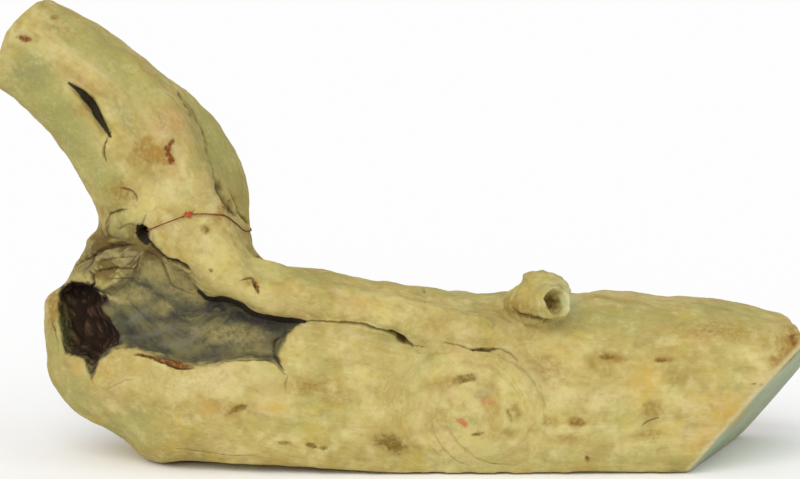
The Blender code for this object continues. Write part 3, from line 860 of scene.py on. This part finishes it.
def member_frames(points, stations, reverse):
    """(how deep each point lies in a member, its way along, its offsets across the member)"""
    rows = catmull_rom(stations, 6) - np.array([*CENTRE, 0, 0])
    if reverse:
        rows = rows[::-1]
    steps = np.linalg.norm(np.diff(rows[:, :3], axis=0), axis=1)
    way = np.concatenate([[0], np.cumsum(steps)])
    nearest = np.full(len(points), 1e9)
    found = np.zeros((len(points), 4))
    for i, row in enumerate(rows):
        along = rows[min(i + 1, len(rows) - 1), :3] - rows[max(i - 1, 0), :3]
        along /= np.linalg.norm(along)
        up = np.array([-along[2], 0, along[0]])
        up /= np.linalg.norm(up)
        away = points - row[:3]
        distance = (away**2).sum(1)
        closer = distance < nearest
        near = away[closer]
        high, deep = near @ up, near[:, 1]
        found[closer] = np.stack(
            [np.hypot(high / row[3], deep / row[4]), way[i] + near @ along, high, deep],
            axis=1,
        )
        nearest[closer] = distance[closer]
    return found


def grain_coordinates(skin):
    """The way along the fibres, and two ways across them, at each point."""
    members = [(TRUNK, True), (LIMB, False), (ROOT, True), (RIB, False)]
    frames = [member_frames(skin.points, stations, reverse) for stations, reverse in members]
    depths = np.stack([found[:, 0] for found in frames])
    weights = np.exp(-7 * (depths - depths.min(0)))
    weights /= weights.sum(0)
    grain = sum(w[:, None] * (found[:, 1:] + 40 * i) for i, (w, found) in enumerate(zip(weights, frames)))
    flat, shown = skin.seen("front")
    away = flat - np.array(WHORL_CENTRE)
    away = away + skin.waver * 2.5
    radius = np.hypot(away[:, 0] / 1.12, away[:, 1])
    angle = np.arctan2(away[:, 1], away[:, 0])
    ringed = np.stack([np.abs(angle) * 22, radius + 4 * angle / np.pi, skin.points[:, 1] * 0.3], axis=1)
    inner = (smoothstep(WHORL_REACH, WHORL_CORE, radius) * shown)[:, None]
    return grain * (1 - inner) + ringed * inner, radius, inner[:, 0]


def streaked(grain, size, stretch, seed):
    """Noise drawn out along the fibres."""
    return noise(grain / np.array([stretch, 1, 1]), size, seed)


def refine(mesh, wanted):
    """Faces with a wanted vertex split in four."""
    shape = bmesh.new()
    shape.from_mesh(mesh)
    shape.verts.ensure_lookup_table()
    chosen = np.flatnonzero(wanted)
    faces = {face for i in chosen for face in shape.verts[i].link_faces}
    edges = {edge for face in faces for edge in face.edges}
    bmesh.ops.subdivide_edges(shape, edges=list(edges), cuts=1, use_grid_fill=True)
    shape.to_mesh(mesh)
    shape.free()


def skin_of(mesh):
    """The mesh's points and normals as a skin."""
    points = np.empty(len(mesh.vertices) * 3)
    mesh.vertices.foreach_get("co", points)
    normals = np.empty(len(mesh.vertices) * 3)
    mesh.vertex_normals.foreach_get("vector", normals)
    return Skin(points.reshape(-1, 3), normals.reshape(-1, 3))


def near_fine_marks(skin):
    """Points close enough to a crack or a small opening to need a finer mesh."""
    wanted = np.zeros(len(skin.points), bool)
    for side, width, _, _, line in each(CRACKS):
        wanted[skin.near_line(side, line, width + 1.6)[0]] = True
    for places in OPENINGS:
        wanted[skin.near_line("front", places, 4)[0]] = True
    return wanted


def cut_cracks(skin):
    """(how far each point is pushed in by cracks, how dark the painted shade in them makes it)"""
    sunk = np.zeros(len(skin.points))
    dark = np.zeros(len(skin.points))
    for side, width, depth, strength, line in each(CRACKS):
        near, distance, along, shown = skin.near_line(side, line, width * 3, 0.7)
        uneven = 0.85 + 0.55 * noise(skin.points[near], 5, 71)
        reach = width * tapered(along) * np.maximum(uneven, 0.3)
        cut = smoothstep(1.25, 0.1, distance / reach) * shown
        sunk[near] = np.maximum(sunk[near], depth * cut * tapered(along))
        shade = strength * smoothstep(1.25, 0.2, distance / reach) * shown * np.clip(uneven, 0, 1)
        dark[near] = np.maximum(dark[near], shade)
    return sunk, dark


def mark_fields(skin):
    """How strongly each kind of mark colours each point."""
    kinds = {kind: np.zeros(len(skin.points)) for _, kind in MARKS}
    for (side, kind), marks in MARKS.items():
        flat, shown = skin.seen(side)
        for *place, wide, high, tilt, strength in marks:
            reach = max(wide, high) * 1.8 + 2
            near = np.flatnonzero((np.abs(flat - place) < reach).all(1) & (shown > 0))
            size = min(wide, high)
            away = flat[near] - place + skin.waver[near] * min(3.2, 0.7 * size)
            turn = math.radians(tilt)
            across = (away[:, 0] * math.cos(turn) + away[:, 1] * math.sin(turn)) / wide
            up = (away[:, 1] * math.cos(turn) - away[:, 0] * math.sin(turn)) / high
            soft = 0.4 if size < 2 else 0.85
            field = strength * smoothstep(1 + soft, 1 - soft, np.hypot(across, up)) * shown[near]
            kinds[kind][near] = np.maximum(kinds[kind][near], field)
    return kinds


def shade_in_openings(skin):
    """Painted shade inside the deep openings: how dark each point is painted there."""
    return np.max([smoothstep(0.12, 0.55, opening(skin, places, 1)) for places in OPENINGS], axis=0)


def burled(skin):
    """How much of the burl's rough olive bark each point has."""
    flat, shown = skin.seen("front")
    return smoothstep(-5, 5, inside(flat + skin.waver * 3, BURL)) * shown


def smooth_relief(skin, grain, radius, inner):
    """Grain ridges and soft unevenness in sound wood, with rings round the whorl."""
    relief = 0.11 * streaked(grain, 3.2, 12, 31) + 0.06 * streaked(grain, 1.6, 14, 33)
    relief += 0.34 * noise(skin.points, 6.5, 35) + 0.14 * noise(skin.points, 2.8, 37)
    rings = np.sin(radius * 2 * np.pi / 8 + 2.4 * noise(skin.points, 16, 41))
    uneven = 0.6 + 0.6 * noise(skin.points, 20, 42)
    return relief + 0.22 * rings * inner * smoothstep(3, 12, radius) * uneven


def bark_relief(skin):
    """The burl's rough bark, whose fibres fan out from one place."""
    away = skin.points[:, [0, 2]] - np.array(FAN_CENTRE)
    distance, angle = np.hypot(*away.T), np.arctan2(away[:, 0], -away[:, 1])
    fan = np.stack([distance / 5, 26 * angle, skin.points[:, 1] / 2], axis=1)
    fan += 1.6 * skin.waver[:, [0, 1, 0]]
    fibres = 1.2 * np.abs(noise(fan, 6, 55)) + 0.6 * noise(fan, 2.4, 56)
    return fibres * smoothstep(3, 16, fan[:, 0] * 5) + 0.8 * noise(skin.points, 6, 57) - 0.4


def fibre_relief(skin, grain):
    """The fibres laid bare in the recess."""
    fibres = 0.55 * streaked(grain, 4.5, 8, 43) + 0.22 * streaked(grain, 1.8, 12, 45)
    return fibres + 0.35 * noise(skin.points, 7, 47)


def splinter_relief(skin):
    """Leaning splinters in the rot."""
    leaning = skin.points @ np.array(Matrix.Rotation(ROT_LEAN, 3, "Y"))
    return 2.4 * np.abs(streaked(leaning, 4, 4, 51)) + 1.2 * streaked(leaning, 2, 5, 53) - 1.0


def fine_relief(skin, grain, radius, inner, recess, rot, burl):
    """How far the fine shapes of each kind of wood stand out along the normals."""
    relief = smooth_relief(skin, grain, radius, inner) * (1 - recess) + fibre_relief(skin, grain) * recess
    relief = relief * (1 - burl) + bark_relief(skin) * burl
    return relief * (1 - rot) + splinter_relief(skin) * rot


def paint(mesh, name, values):
    """Values left on the mesh for the material to read."""
    made = mesh.attributes.new(name, "FLOAT", "POINT")
    made.data.foreach_set("value", np.ascontiguousarray(values, np.float32))


def on_face(skin, face):
    """How fully each point lies on a face, from 0 to 1."""
    height, normal = heights_over(skin.points + CENTRE, face)
    return smoothstep(1.2, 0.3, np.abs(height)) * smoothstep(0.8, 0.95, skin.normals @ normal)


def highlight_by_the_cut(skin, sawn):
    """Painted highlight along the front's edge by the trunk's sawn end: how close each point lies to that
    edge.
    """
    beyond, _ = heights_over(skin.points + CENTRE, TRUNK_SAW)
    return smoothstep(3.5, 0.5, skin.waver[:, 0] - beyond) * (1 - sawn)


def carved_mesh():
    """The whole wood, carved, sawn, bored and with its stub, as one fine mesh."""
    points, quads = grown_form()
    points = carve_form(points - CENTRE, quads) + CENTRE
    for face in FACE_ROUNDS * FACES:
        points = flattened(points, face)
    points, quads = remeshed("whole", mesh_of("whole", points - CENTRE, quads), BORED_VOXEL, 0)
    cutter = tube_cutter("channel", CHANNEL, CENTRE)
    points, quads = remeshed("bored", mesh_of("bored", points, quads), BORED_VOXEL, 0, cutter)
    stub_points, stub_quads = broken_stub()
    quads = np.vstack([quads, stub_quads + len(points)])
    points = np.vstack([points, stub_points - CENTRE])
    points, quads = remeshed("wood", mesh_of("wood", points, quads), FINE_VOXEL, 2)
    mesh = mesh_of("driftwood_fine", points, quads)
    refine(mesh, near_fine_marks(skin_of(mesh)))
    return mesh


def lift_front_edge(points):
    """The front's lower edge raised off the floor a little, most in a long low arch."""
    edge = smoothstep(12, 0, points[:, 2]) * smoothstep(-20, -34, points[:, 1])
    arch = 3.2 * smoothstep(-130, -108, points[:, 0]) * smoothstep(-8, -60, points[:, 0])
    points[:, 2] += edge * (arch + 0.5 + 0.6 * noise(points, 30, 81))
    points[:, 2] = np.maximum(points[:, 2], 0)


def wood_piece():
    """The weathered wood, with what its material needs to know as attributes."""
    mesh = carved_mesh()
    skin = skin_of(mesh)
    limb_end = np.maximum(on_face(skin, LIMB_SAW), on_face(skin, LIMB_WEAR))
    sawn = np.maximum(on_face(skin, TRUNK_SAW), 0.5 * limb_end)
    uncut = 1 - np.max([sawn, limb_end, on_face(skin, BASE_FACE)], axis=0)
    _, in_recess, in_rot = recess_depth(skin)
    recess, rot = smoothstep(0, 3, in_recess), smoothstep(0, 3, in_rot)
    burl = burled(skin)
    grain, radius, inner = grain_coordinates(skin)
    relief = fine_relief(skin, grain, radius, inner, recess, rot, burl) * uncut
    sunk, dark = cut_cracks(skin)
    moved = skin.points + skin.normals * (relief - sunk * uncut)[:, None]
    lift_front_edge(moved)
    mesh.vertices.foreach_set("co", (moved * MM).astype(np.float32).ravel())
    mesh.update()

    fields = mark_fields(skin)
    # The recess's painted shadow and its streaks show only inside the recess.
    for kind in ("recess_shadow", "mist", "straw"):
        fields[kind] *= recess
    # Painted highlight along the edge of the sawn end.
    fields["saw_edge_highlight"] = highlight_by_the_cut(skin, sawn)
    fields["dark"] = dark
    fields["opening_shade"] = shade_in_openings(skin) * (1 - fields["bone"])
    # How far the relief stands up, for the painted shade in its hollows.
    fields["raised"] = smoothstep(-0.5, 0.5, relief)
    fields["burl"] = burl
    fields["recess"] = smoothstep(-0.6, 1.4, in_recess)
    fields["rot"] = smoothstep(-0.6, 1.6, in_rot)
    fields["sawn"] = sawn
    for name, values in fields.items():
        paint(mesh, name, values)
    along = mesh.attributes.new("grain", "FLOAT_VECTOR", "POINT")
    along.data.foreach_set("vector", (grain * MM).astype(np.float32).ravel())
    mesh.shade_smooth()
    return object_of("driftwood_fine", mesh)


# ---------------------------------------------------------------- thread


def drawn_tight(points, tree):
    """The line pulled tight between its ends, and held just off the wood."""
    for _ in range(THREAD_PULLS):
        middle = 0.5 * points[1:-1] + 0.25 * (points[:-2] + points[2:])
        for i, place in enumerate(middle):
            point = Vector(place)
            nearest, normal, _, distance = tree.find_nearest(point)
            outside = (point - nearest).dot(normal) > 0
            if not outside or distance < STAND_OFF:
                away = (point - nearest).normalized() if outside and distance > 0.01 else normal
                middle[i] = nearest + away * STAND_OFF
        points = np.vstack([points[:1], middle, points[-1:]])
    return points


def evenly(points, step):
    """The same line with its points a step apart."""
    lengths = np.concatenate([[0], np.cumsum(np.linalg.norm(np.diff(points, axis=0), axis=1))])
    wanted = np.linspace(0, lengths[-1], int(lengths[-1] / step))
    return np.column_stack([np.interp(wanted, lengths, points[:, axis]) for axis in range(3)])


def thread_line(knot, tree):
    """The thread's middle line: from the knot round the neck, through the wood and back."""
    round_neck = catmull_rom(ROUND_THE_NECK, 12) - CENTRE
    to_hole = catmull_rom(TO_THE_HOLE, 12) - CENTRE
    round_neck[0] = to_hole[-1] = knot
    round_neck = drawn_tight(evenly(round_neck, 1.4), tree)
    to_hole = drawn_tight(evenly(to_hole, 1.4), tree)
    through = catmull_rom([row[:3] for row in CHANNEL[CHANNEL_MOUTHS]][::-1], 12)[1:-1] - CENTRE
    return evenly(catmull_rom(np.vstack([round_neck, through, to_hole]), 3), THREAD_STEP)


def add_plies(shape, line):
    """Two strands twisted round the line."""
    _, sides, others = way_along(line)
    turns = np.arange(len(line)) * THREAD_STEP * 2 * math.pi / PLY_TURN
    for start in (0, math.pi):
        turn = (start + turns)[:, None]
        ply = line + PLY_OFFSET * (np.cos(turn) * sides + np.sin(turn) * others)
        add_tube(shape, ply, np.full(len(ply), PLY_RADIUS), 6)


def add_knot(shape, centre, along, out):
    """A trefoil knot lying on the wood, drawn out along the thread."""
    turns = np.linspace(0, 2 * math.pi, 60)
    loops = [
        np.sin(turns) + 2 * np.sin(2 * turns),
        np.cos(turns) - 2 * np.cos(2 * turns),
        -np.sin(3 * turns),
    ]
    line = centre + np.transpose(loops) * KNOT_SIZE @ np.array([along, np.cross(out, along), out])
    add_tube(shape, line, np.full(len(line), KNOT_RADIUS), 8)


def lifted_clear(point, tree):
    """The point, moved out from the wood if it lies too close."""
    nearest, normal, _, _ = tree.find_nearest(Vector(point))
    height = (Vector(point) - nearest).dot(normal)
    return np.array(point) + np.array(normal) * max(0, TAIL_CLEARANCE - height)


def add_tail(shape, centre, along, out, fall, tree):
    """A short end of thread that tapers away from the knot and falls to one side."""
    steps = np.linspace(0, 1, 12)[:, None]
    tail = centre + along * TAIL_LENGTH * steps + out * 0.5 * np.sin(steps * math.pi)
    tail += np.cross(out, along) * fall * TAIL_LENGTH * steps**1.5
    tail = np.array([lifted_clear(point, tree) for point in tail])
    add_tube(shape, tail, np.linspace(KNOT_RADIUS * 0.8, 0.12, 12), 6)


def thread_piece(wood):
    """A two-ply thread round the neck, with its knot and two short tails."""
    tree = BVHTree.FromPolygons(
        [vertex.co / MM for vertex in wood.data.vertices],
        [polygon.vertices for polygon in wood.data.polygons],
    )
    nearest, out, _, _ = tree.find_nearest(Vector(KNOT_PLACE) - Vector(CENTRE))
    knot, out = np.array(nearest + out * KNOT_LIFT), np.array(out)
    line = thread_line(knot, tree)
    along = line[12] - line[-13]
    along -= out * (along @ out)
    along /= np.linalg.norm(along)
    shape = bmesh.new()
    add_plies(shape, line)
    plain = len(shape.verts)
    add_knot(shape, knot, along, out)
    add_tail(shape, knot, along, out, 0.5, tree)
    add_tail(shape, knot, -along, out, 0.35, tree)
    mesh = mesh_from("thread_fine", shape)
    paint(mesh, "knot", np.arange(len(mesh.vertices)) >= plain)
    mesh.transform(Matrix.Scale(MM, 4))
    mesh.shade_smooth()
    return object_of("thread_fine", mesh)


# ---------------------------------------------------------------- materials


def colour(red, green, blue):
    """A colour as it looks on a screen under the studio light, in the values that nodes take."""
    shown = np.array([red, green, blue]) / 255
    linear = np.where(shown < 0.04, shown / 12.92, ((shown + 0.055) / 1.055) ** 2.4)
    return (*(linear / LIGHT), 1)


class Graph:
    """The nodes of one material, made and linked with short calls."""

    def __init__(self, name):
        self.material = bpy.data.materials.new(name)
        self.material.use_nodes = True
        self.nodes = self.material.node_tree.nodes
        self.shader = self.nodes["Principled BSDF"]
        self.place = self.nodes.new("ShaderNodeTexCoord").outputs["Object"]

    def feed(self, socket, value):
        if isinstance(value, bpy.types.NodeSocket):
            self.material.node_tree.links.new(value, socket)
        else:
            socket.default_value = value

    def attribute(self, name, output="Fac"):
        node = self.nodes.new("ShaderNodeAttribute")
        node.attribute_name = name
        return node.outputs[output]

    def math(self, operation, a, b):
        node = self.nodes.new("ShaderNodeMath")
        node.operation = operation
        self.feed(node.inputs[0], a)
        self.feed(node.inputs[1], b)
        return node.outputs[0]

    def times(self, a, b):
        return self.math("MULTIPLY", a, b)

    def stretched(self, place, factors):
        node = self.nodes.new("ShaderNodeVectorMath")
        node.operation = "MULTIPLY"
        self.feed(node.inputs[0], place)
        node.inputs[1].default_value = factors
        return node.outputs[0]

    def leaning(self, place, lean, stretch):
        """Places turned about Y by that angle and drawn out along the turned X."""
        node = self.nodes.new("ShaderNodeMapping")
        node.vector_type = "TEXTURE"
        self.feed(node.inputs["Vector"], place)
        node.inputs["Rotation"].default_value = (0, lean, 0)
        node.inputs["Scale"].default_value = (stretch, 1, 1)
        return node.outputs[0]

    def ramp(self, value, low, high, top=1.0):
        """Zero at low, top at high, smooth between."""
        node = self.nodes.new("ShaderNodeMapRange")
        node.interpolation_type = "SMOOTHSTEP"
        self.feed(node.inputs["Value"], value)
        node.inputs["From Min"].default_value = min(low, high)
        node.inputs["From Max"].default_value = max(low, high)
        node.inputs["To Min"].default_value = 0 if low < high else top
        node.inputs["To Max"].default_value = top if low < high else 0
        return node.outputs["Result"]

    def noise(self, place, scale, detail=3, rough=0.55):
        node = self.nodes.new("ShaderNodeTexNoise")
        self.feed(node.inputs["Vector"], place)
        node.inputs["Scale"].default_value = scale
        node.inputs["Detail"].default_value = detail
        node.inputs["Roughness"].default_value = rough
        return node.outputs["Fac"]

    def mix(self, amount, a, b, blend="MIX"):
        node = self.nodes.new("ShaderNodeMix")
        node.data_type = "RGBA"
        node.blend_type = blend
        self.feed(node.inputs[0], amount)
        self.feed(node.inputs[6], a)
        self.feed(node.inputs[7], b)
        return node.outputs[2]

    def bump(self, height, distance, strength):
        node = self.nodes.new("ShaderNodeBump")
        self.feed(node.inputs["Height"], height)
        node.inputs["Distance"].default_value = distance
        node.inputs["Strength"].default_value = strength
        return node.outputs["Normal"]


# Blotches over each wood's first colour: which coordinates, noise scale, detail, where its ramp
# starts and ends, strength, colour as red, green and blue. Place is the wood's own, flow is drawn
# out along the fibres, and fibre is drawn out much further.
Blotch = namedtuple("Blotch", "where scale detail low high strength tint")
SOUND_WOOD = (190, 170, 100)
SOUND_BLOTCHES = [
    Blotch("place", 24, 3, 0.38, 0.60, 1.0, (208, 194, 122)),
    Blotch("place", 30, 4, 0.46, 0.70, 0.60, (178, 171, 104)),
    Blotch("flow", 70, 5, 0.48, 0.68, 0.60, (184, 150, 78)),
    Blotch("place", 45, 4, 0.50, 0.68, 0.60, (212, 182, 126)),
    Blotch("place", 58, 5, 0.50, 0.70, 0.55, (164, 149, 78)),
    Blotch("place", 64, 5, 0.52, 0.70, 0.55, (206, 182, 86)),
    Blotch("place", 105, 6, 0.48, 0.68, 0.55, (224, 210, 148)),
    Blotch("place", 190, 6, 0.50, 0.70, 0.32, (160, 136, 70)),
    Blotch("flow", 300, 4, 0.50, 0.70, 0.35, (220, 204, 142)),
    Blotch("flow", 330, 4, 0.52, 0.72, 0.22, (154, 128, 64)),
    Blotch("fibre", 700, 3, 0.52, 0.74, 0.17, (146, 124, 64)),
]
RECESS_WOOD = (88, 86, 64)
RECESS_BLOTCHES = [
    Blotch("flow", 60, 5, 0.40, 0.62, 1.0, (116, 110, 72)),
    Blotch("place", 75, 4, 0.50, 0.70, 0.6, (140, 130, 84)),
    Blotch("flow", 150, 5, 0.50, 0.70, 0.6, (66, 62, 54)),
    Blotch("fibre", 420, 4, 0.50, 0.72, 0.45, (132, 128, 98)),
]
BURL_WOOD = (136, 122, 68)
BURL_BLOTCHES = [
    Blotch("flow", 90, 5, 0.40, 0.62, 1.0, (182, 167, 104)),
    Blotch("flow", 260, 4, 0.52, 0.70, 0.6, (108, 84, 40)),
    Blotch("place", 60, 4, 0.50, 0.66, 0.7, (134, 122, 92)),
]
# The colours of the marks. A later kind is painted over an earlier one.
MARK_COLOURS = {
    "pale": (221, 206, 146),
    # green, on the front, is mostly painted shade along edges and undersides
    "green": (167, 163, 96),
    "grey": (148, 146, 96),
    "brown": (158, 124, 58),
    "orange": (206, 170, 84),
    "pink": (198, 112, 84),
    "olive": (122, 100, 42),
    # Painted shadow in the recess
    "recess_shadow": (62, 58, 56),
    "mist": (130, 130, 110),
    "straw": (160, 146, 94),
    # A painted highlight along the edge of the sawn end
    "saw_edge_highlight": (206, 196, 150),
    "bone": (196, 176, 122),
    "ivory": (204, 204, 150),
    "gold": (176, 140, 62),
    "rust": (120, 62, 22),
}


def blotched(g, shade, blotches, places):
    """The shade with each blotch's colour mixed in over it."""
    for blotch in blotches:
        value = g.noise(places[blotch.where], blotch.scale, blotch.detail)
        amount = g.ramp(value, blotch.low, blotch.high, blotch.strength)
        shade = g.mix(amount, shade, colour(*blotch.tint))
    return shade


def shade_painted_in_hollows(g, shade, starts, ends, strength, tint):
    """The shade with that colour in the low places of its relief: painted shade in the hollows."""
    return g.mix(g.ramp(g.attribute("raised"), starts, ends, strength), shade, colour(*tint))


def sound_wood(g, places):
    """The smooth weathered wood, blotched and streaked, with browner painted shade in its hollows."""
    shade = blotched(g, colour(*SOUND_WOOD), SOUND_BLOTCHES, places)
    return shade_painted_in_hollows(g, shade, 0.5, 0.0, 0.35, (150, 128, 66))


def marked(g, shade):
    """The shade with the coloured marks on it, each broken up by fine noise."""
    broken = g.math("SUBTRACT", g.noise(g.place, 480, 5, 0.7), 0.5)
    for kind, tint in MARK_COLOURS.items():
        field = g.attribute(kind)
        amount = g.math("ADD", field, g.times(broken, g.times(field, 3.0)))
        shade = g.mix(g.ramp(amount, 0.0, 1.15, 0.95), shade, colour(*tint))
    return shade


def recess_shade(g, places):
    """Grey fibres, streaked blue-grey, brown and pale."""
    shade = blotched(g, colour(*RECESS_WOOD), RECESS_BLOTCHES, places)
    # Painted shade in the hollows of its relief.
    return shade_painted_in_hollows(g, shade, 0.45, 0.0, 0.6, (58, 54, 46))


def rot_shade(g):
    """Splintered red-brown rot, in strands that lean with its splinters."""
    strands = g.leaning(g.place, ROT_LEAN, 5)
    coarse = g.ramp(g.noise(strands, 170, 5, 0.65), 0.40, 0.62)
    shade = g.mix(coarse, colour(52, 38, 30), colour(92, 68, 50))
    fine = g.ramp(g.noise(strands, 520, 4), 0.54, 0.72, 0.5)
    shade = g.mix(fine, shade, colour(124, 94, 66))
    # Painted shade in the hollows of its relief.
    return shade_painted_in_hollows(g, shade, 0.8, 0.1, 0.8, (40, 28, 20))


def burl_shade(g, places):
    """Rough olive bark with pale and dark fibres."""
    shade = blotched(g, colour(*BURL_WOOD), BURL_BLOTCHES, places)
    # Painted shade in the hollows of its relief.
    return shade_painted_in_hollows(g, shade, 0.5, 0.0, 0.8, (88, 64, 26))


def sawn_shade(g):
    """A greyed sawn face with faint growth rings."""
    rings = g.nodes.new("ShaderNodeTexWave")
    rings.wave_type = "RINGS"
    rings.rings_direction = "X"
    g.feed(rings.inputs["Vector"], g.place)
    rings.inputs["Scale"].default_value = 90
    rings.inputs["Distortion"].default_value = 5
    rings.inputs["Detail Scale"].default_value = 0.8
    pale = g.ramp(g.noise(g.place, 50, 4), 0.40, 0.60)
    shade = g.mix(pale, colour(168, 182, 152), colour(182, 190, 158))
    shade = g.mix(g.times(rings.outputs["Fac"], 0.18), shade, colour(152, 160, 126))
    return g.mix(g.ramp(g.noise(g.place, 400, 4), 0.50, 0.74, 0.4), shade, colour(196, 198, 162))


def wood_material():
    """Every kind of wood, each where its attribute says, with the marks and the painted shade of the
    openings and cracks over them.
    """
    g = Graph("weathered_wood")
    grain = g.attribute("grain", "Vector")
    flow = g.stretched(grain, (0.5, 1, 1))
    fibre = g.stretched(grain, (0.08, 1, 1))
    places = {"place": g.place, "flow": flow, "fibre": fibre}
    shade = sound_wood(g, places)
    shade = g.mix(g.attribute("recess"), shade, recess_shade(g, places))
    shade = g.mix(g.times(g.attribute("burl"), 0.9), shade, burl_shade(g, places))
    shade = g.mix(g.attribute("rot"), shade, rot_shade(g))
    shade = g.mix(g.attribute("sawn"), shade, sawn_shade(g))
    shade = marked(g, shade)
    # Painted shade inside the slit, the knot hole and the gap under the root.
    shade = g.mix(g.times(g.attribute("opening_shade"), 0.95), shade, colour(42, 36, 32))
    # Painted shade in the cracks, darkest along the root's overhanging edge and the seam by the rib.
    shade = g.mix(g.times(g.attribute("dark"), 0.92), shade, colour(66, 38, 8))
    g.feed(g.shader.inputs["Base Color"], shade)
    worn = g.ramp(g.noise(flow, 180, 4), 0.3, 0.7, 0.2)
    g.feed(g.shader.inputs["Roughness"], g.math("ADD", worn, 0.72))
    g.shader.inputs["Specular IOR Level"].default_value = 0.14
    fine = g.math("ADD", g.noise(fibre, 900, 3), g.times(g.noise(g.place, 700, 4), 0.8))
    g.feed(g.shader.inputs["Normal"], g.bump(fine, 0.0005, 0.5))
    return g.material


def thread_material():
    """Mottled red-brown thread, with a brighter knot."""
    g = Graph("thread")
    mottle = g.ramp(g.noise(g.place, 700, 3), 0.35, 0.65)
    strand = g.mix(mottle, colour(120, 62, 30), colour(158, 92, 52))
    knot = g.mix(mottle, colour(178, 78, 36), colour(206, 112, 64))
    g.feed(g.shader.inputs["Base Color"], g.mix(g.attribute("knot"), strand, knot))
    g.feed(g.shader.inputs["Roughness"], g.ramp(mottle, -1, 2, 0.9))
    g.shader.inputs["Specular IOR Level"].default_value = 0.25
    g.feed(g.shader.inputs["Normal"], g.bump(g.noise(g.place, 4000, 2), 0.0001, 0.5))
    return g.material


# ---------------------------------------------------------------- stage


def floor():
    """A wide plain pale floor, just under the wood."""
    shape = bmesh.new()
    bmesh.ops.create_grid(shape, x_segments=1, y_segments=1, size=30)
    mesh = mesh_from("floor", shape)
    made = object_of("floor", mesh)
    made.location.z = -0.0005
    finish = bpy.data.materials.new("floor")
    finish.use_nodes = True
    shader = finish.node_tree.nodes["Principled BSDF"]
    shader.inputs["Base Color"].default_value = (0.98, 0.98, 0.98, 1)
    shader.inputs["Roughness"].default_value = 1.0
    shader.inputs["Specular IOR Level"].default_value = 0.0
    mesh.materials.append(finish)


def lights():
    """Soft light from in front and above, under a dimmer white sky that looks white itself."""
    world = bpy.data.worlds.new("studio")
    world.use_nodes = True
    tree = world.node_tree
    seen = tree.nodes.new("ShaderNodeLightPath")
    strength = tree.nodes.new("ShaderNodeMapRange")
    strength.inputs["To Min"].default_value = SKY
    strength.inputs["To Max"].default_value = 1.0
    tree.links.new(seen.outputs["Is Camera Ray"], strength.inputs["Value"])
    tree.links.new(strength.outputs["Result"], tree.nodes["Background"].inputs["Strength"])
    tree.nodes["Background"].inputs["Color"].default_value = (1, 1, 1, 1)
    bpy.context.scene.world = world
    for name, (towards, power) in LAMPS.items():
        data = bpy.data.lights.new(name, "SUN")
        data.energy = power
        data.angle = LAMP_SPREAD
        made = object_of(name, data)
        made.rotation_mode = "QUATERNION"
        made.rotation_quaternion = Vector(towards).to_track_quat("-Z", "Y")


def camera():
    """A long lens in front of the wood, looking a little down at it."""
    data = bpy.data.cameras.new("camera")
    data.lens = LENS
    data.sensor_width = 36
    made = object_of("camera", data)
    away = Vector((0, -math.cos(VIEW_ELEVATION), math.sin(VIEW_ELEVATION)))
    made.location = VIEW_AIM + away * VIEW_DISTANCE
    made.rotation_mode = "QUATERNION"
    made.rotation_quaternion = (-away).to_track_quat("-Z", "Y")
    bpy.context.scene.camera = made


def main():
    wood = wood_piece()
    thread = thread_piece(wood)
    wood.data.materials.append(wood_material())
    thread.data.materials.append(thread_material())
    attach(wood, "root")
    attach(thread, "root")
    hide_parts("driftwood")
    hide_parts("tie_thread")
    floor()
    lights()
    camera()
    bpy.context.scene.view_settings.view_transform = "Standard"


main()
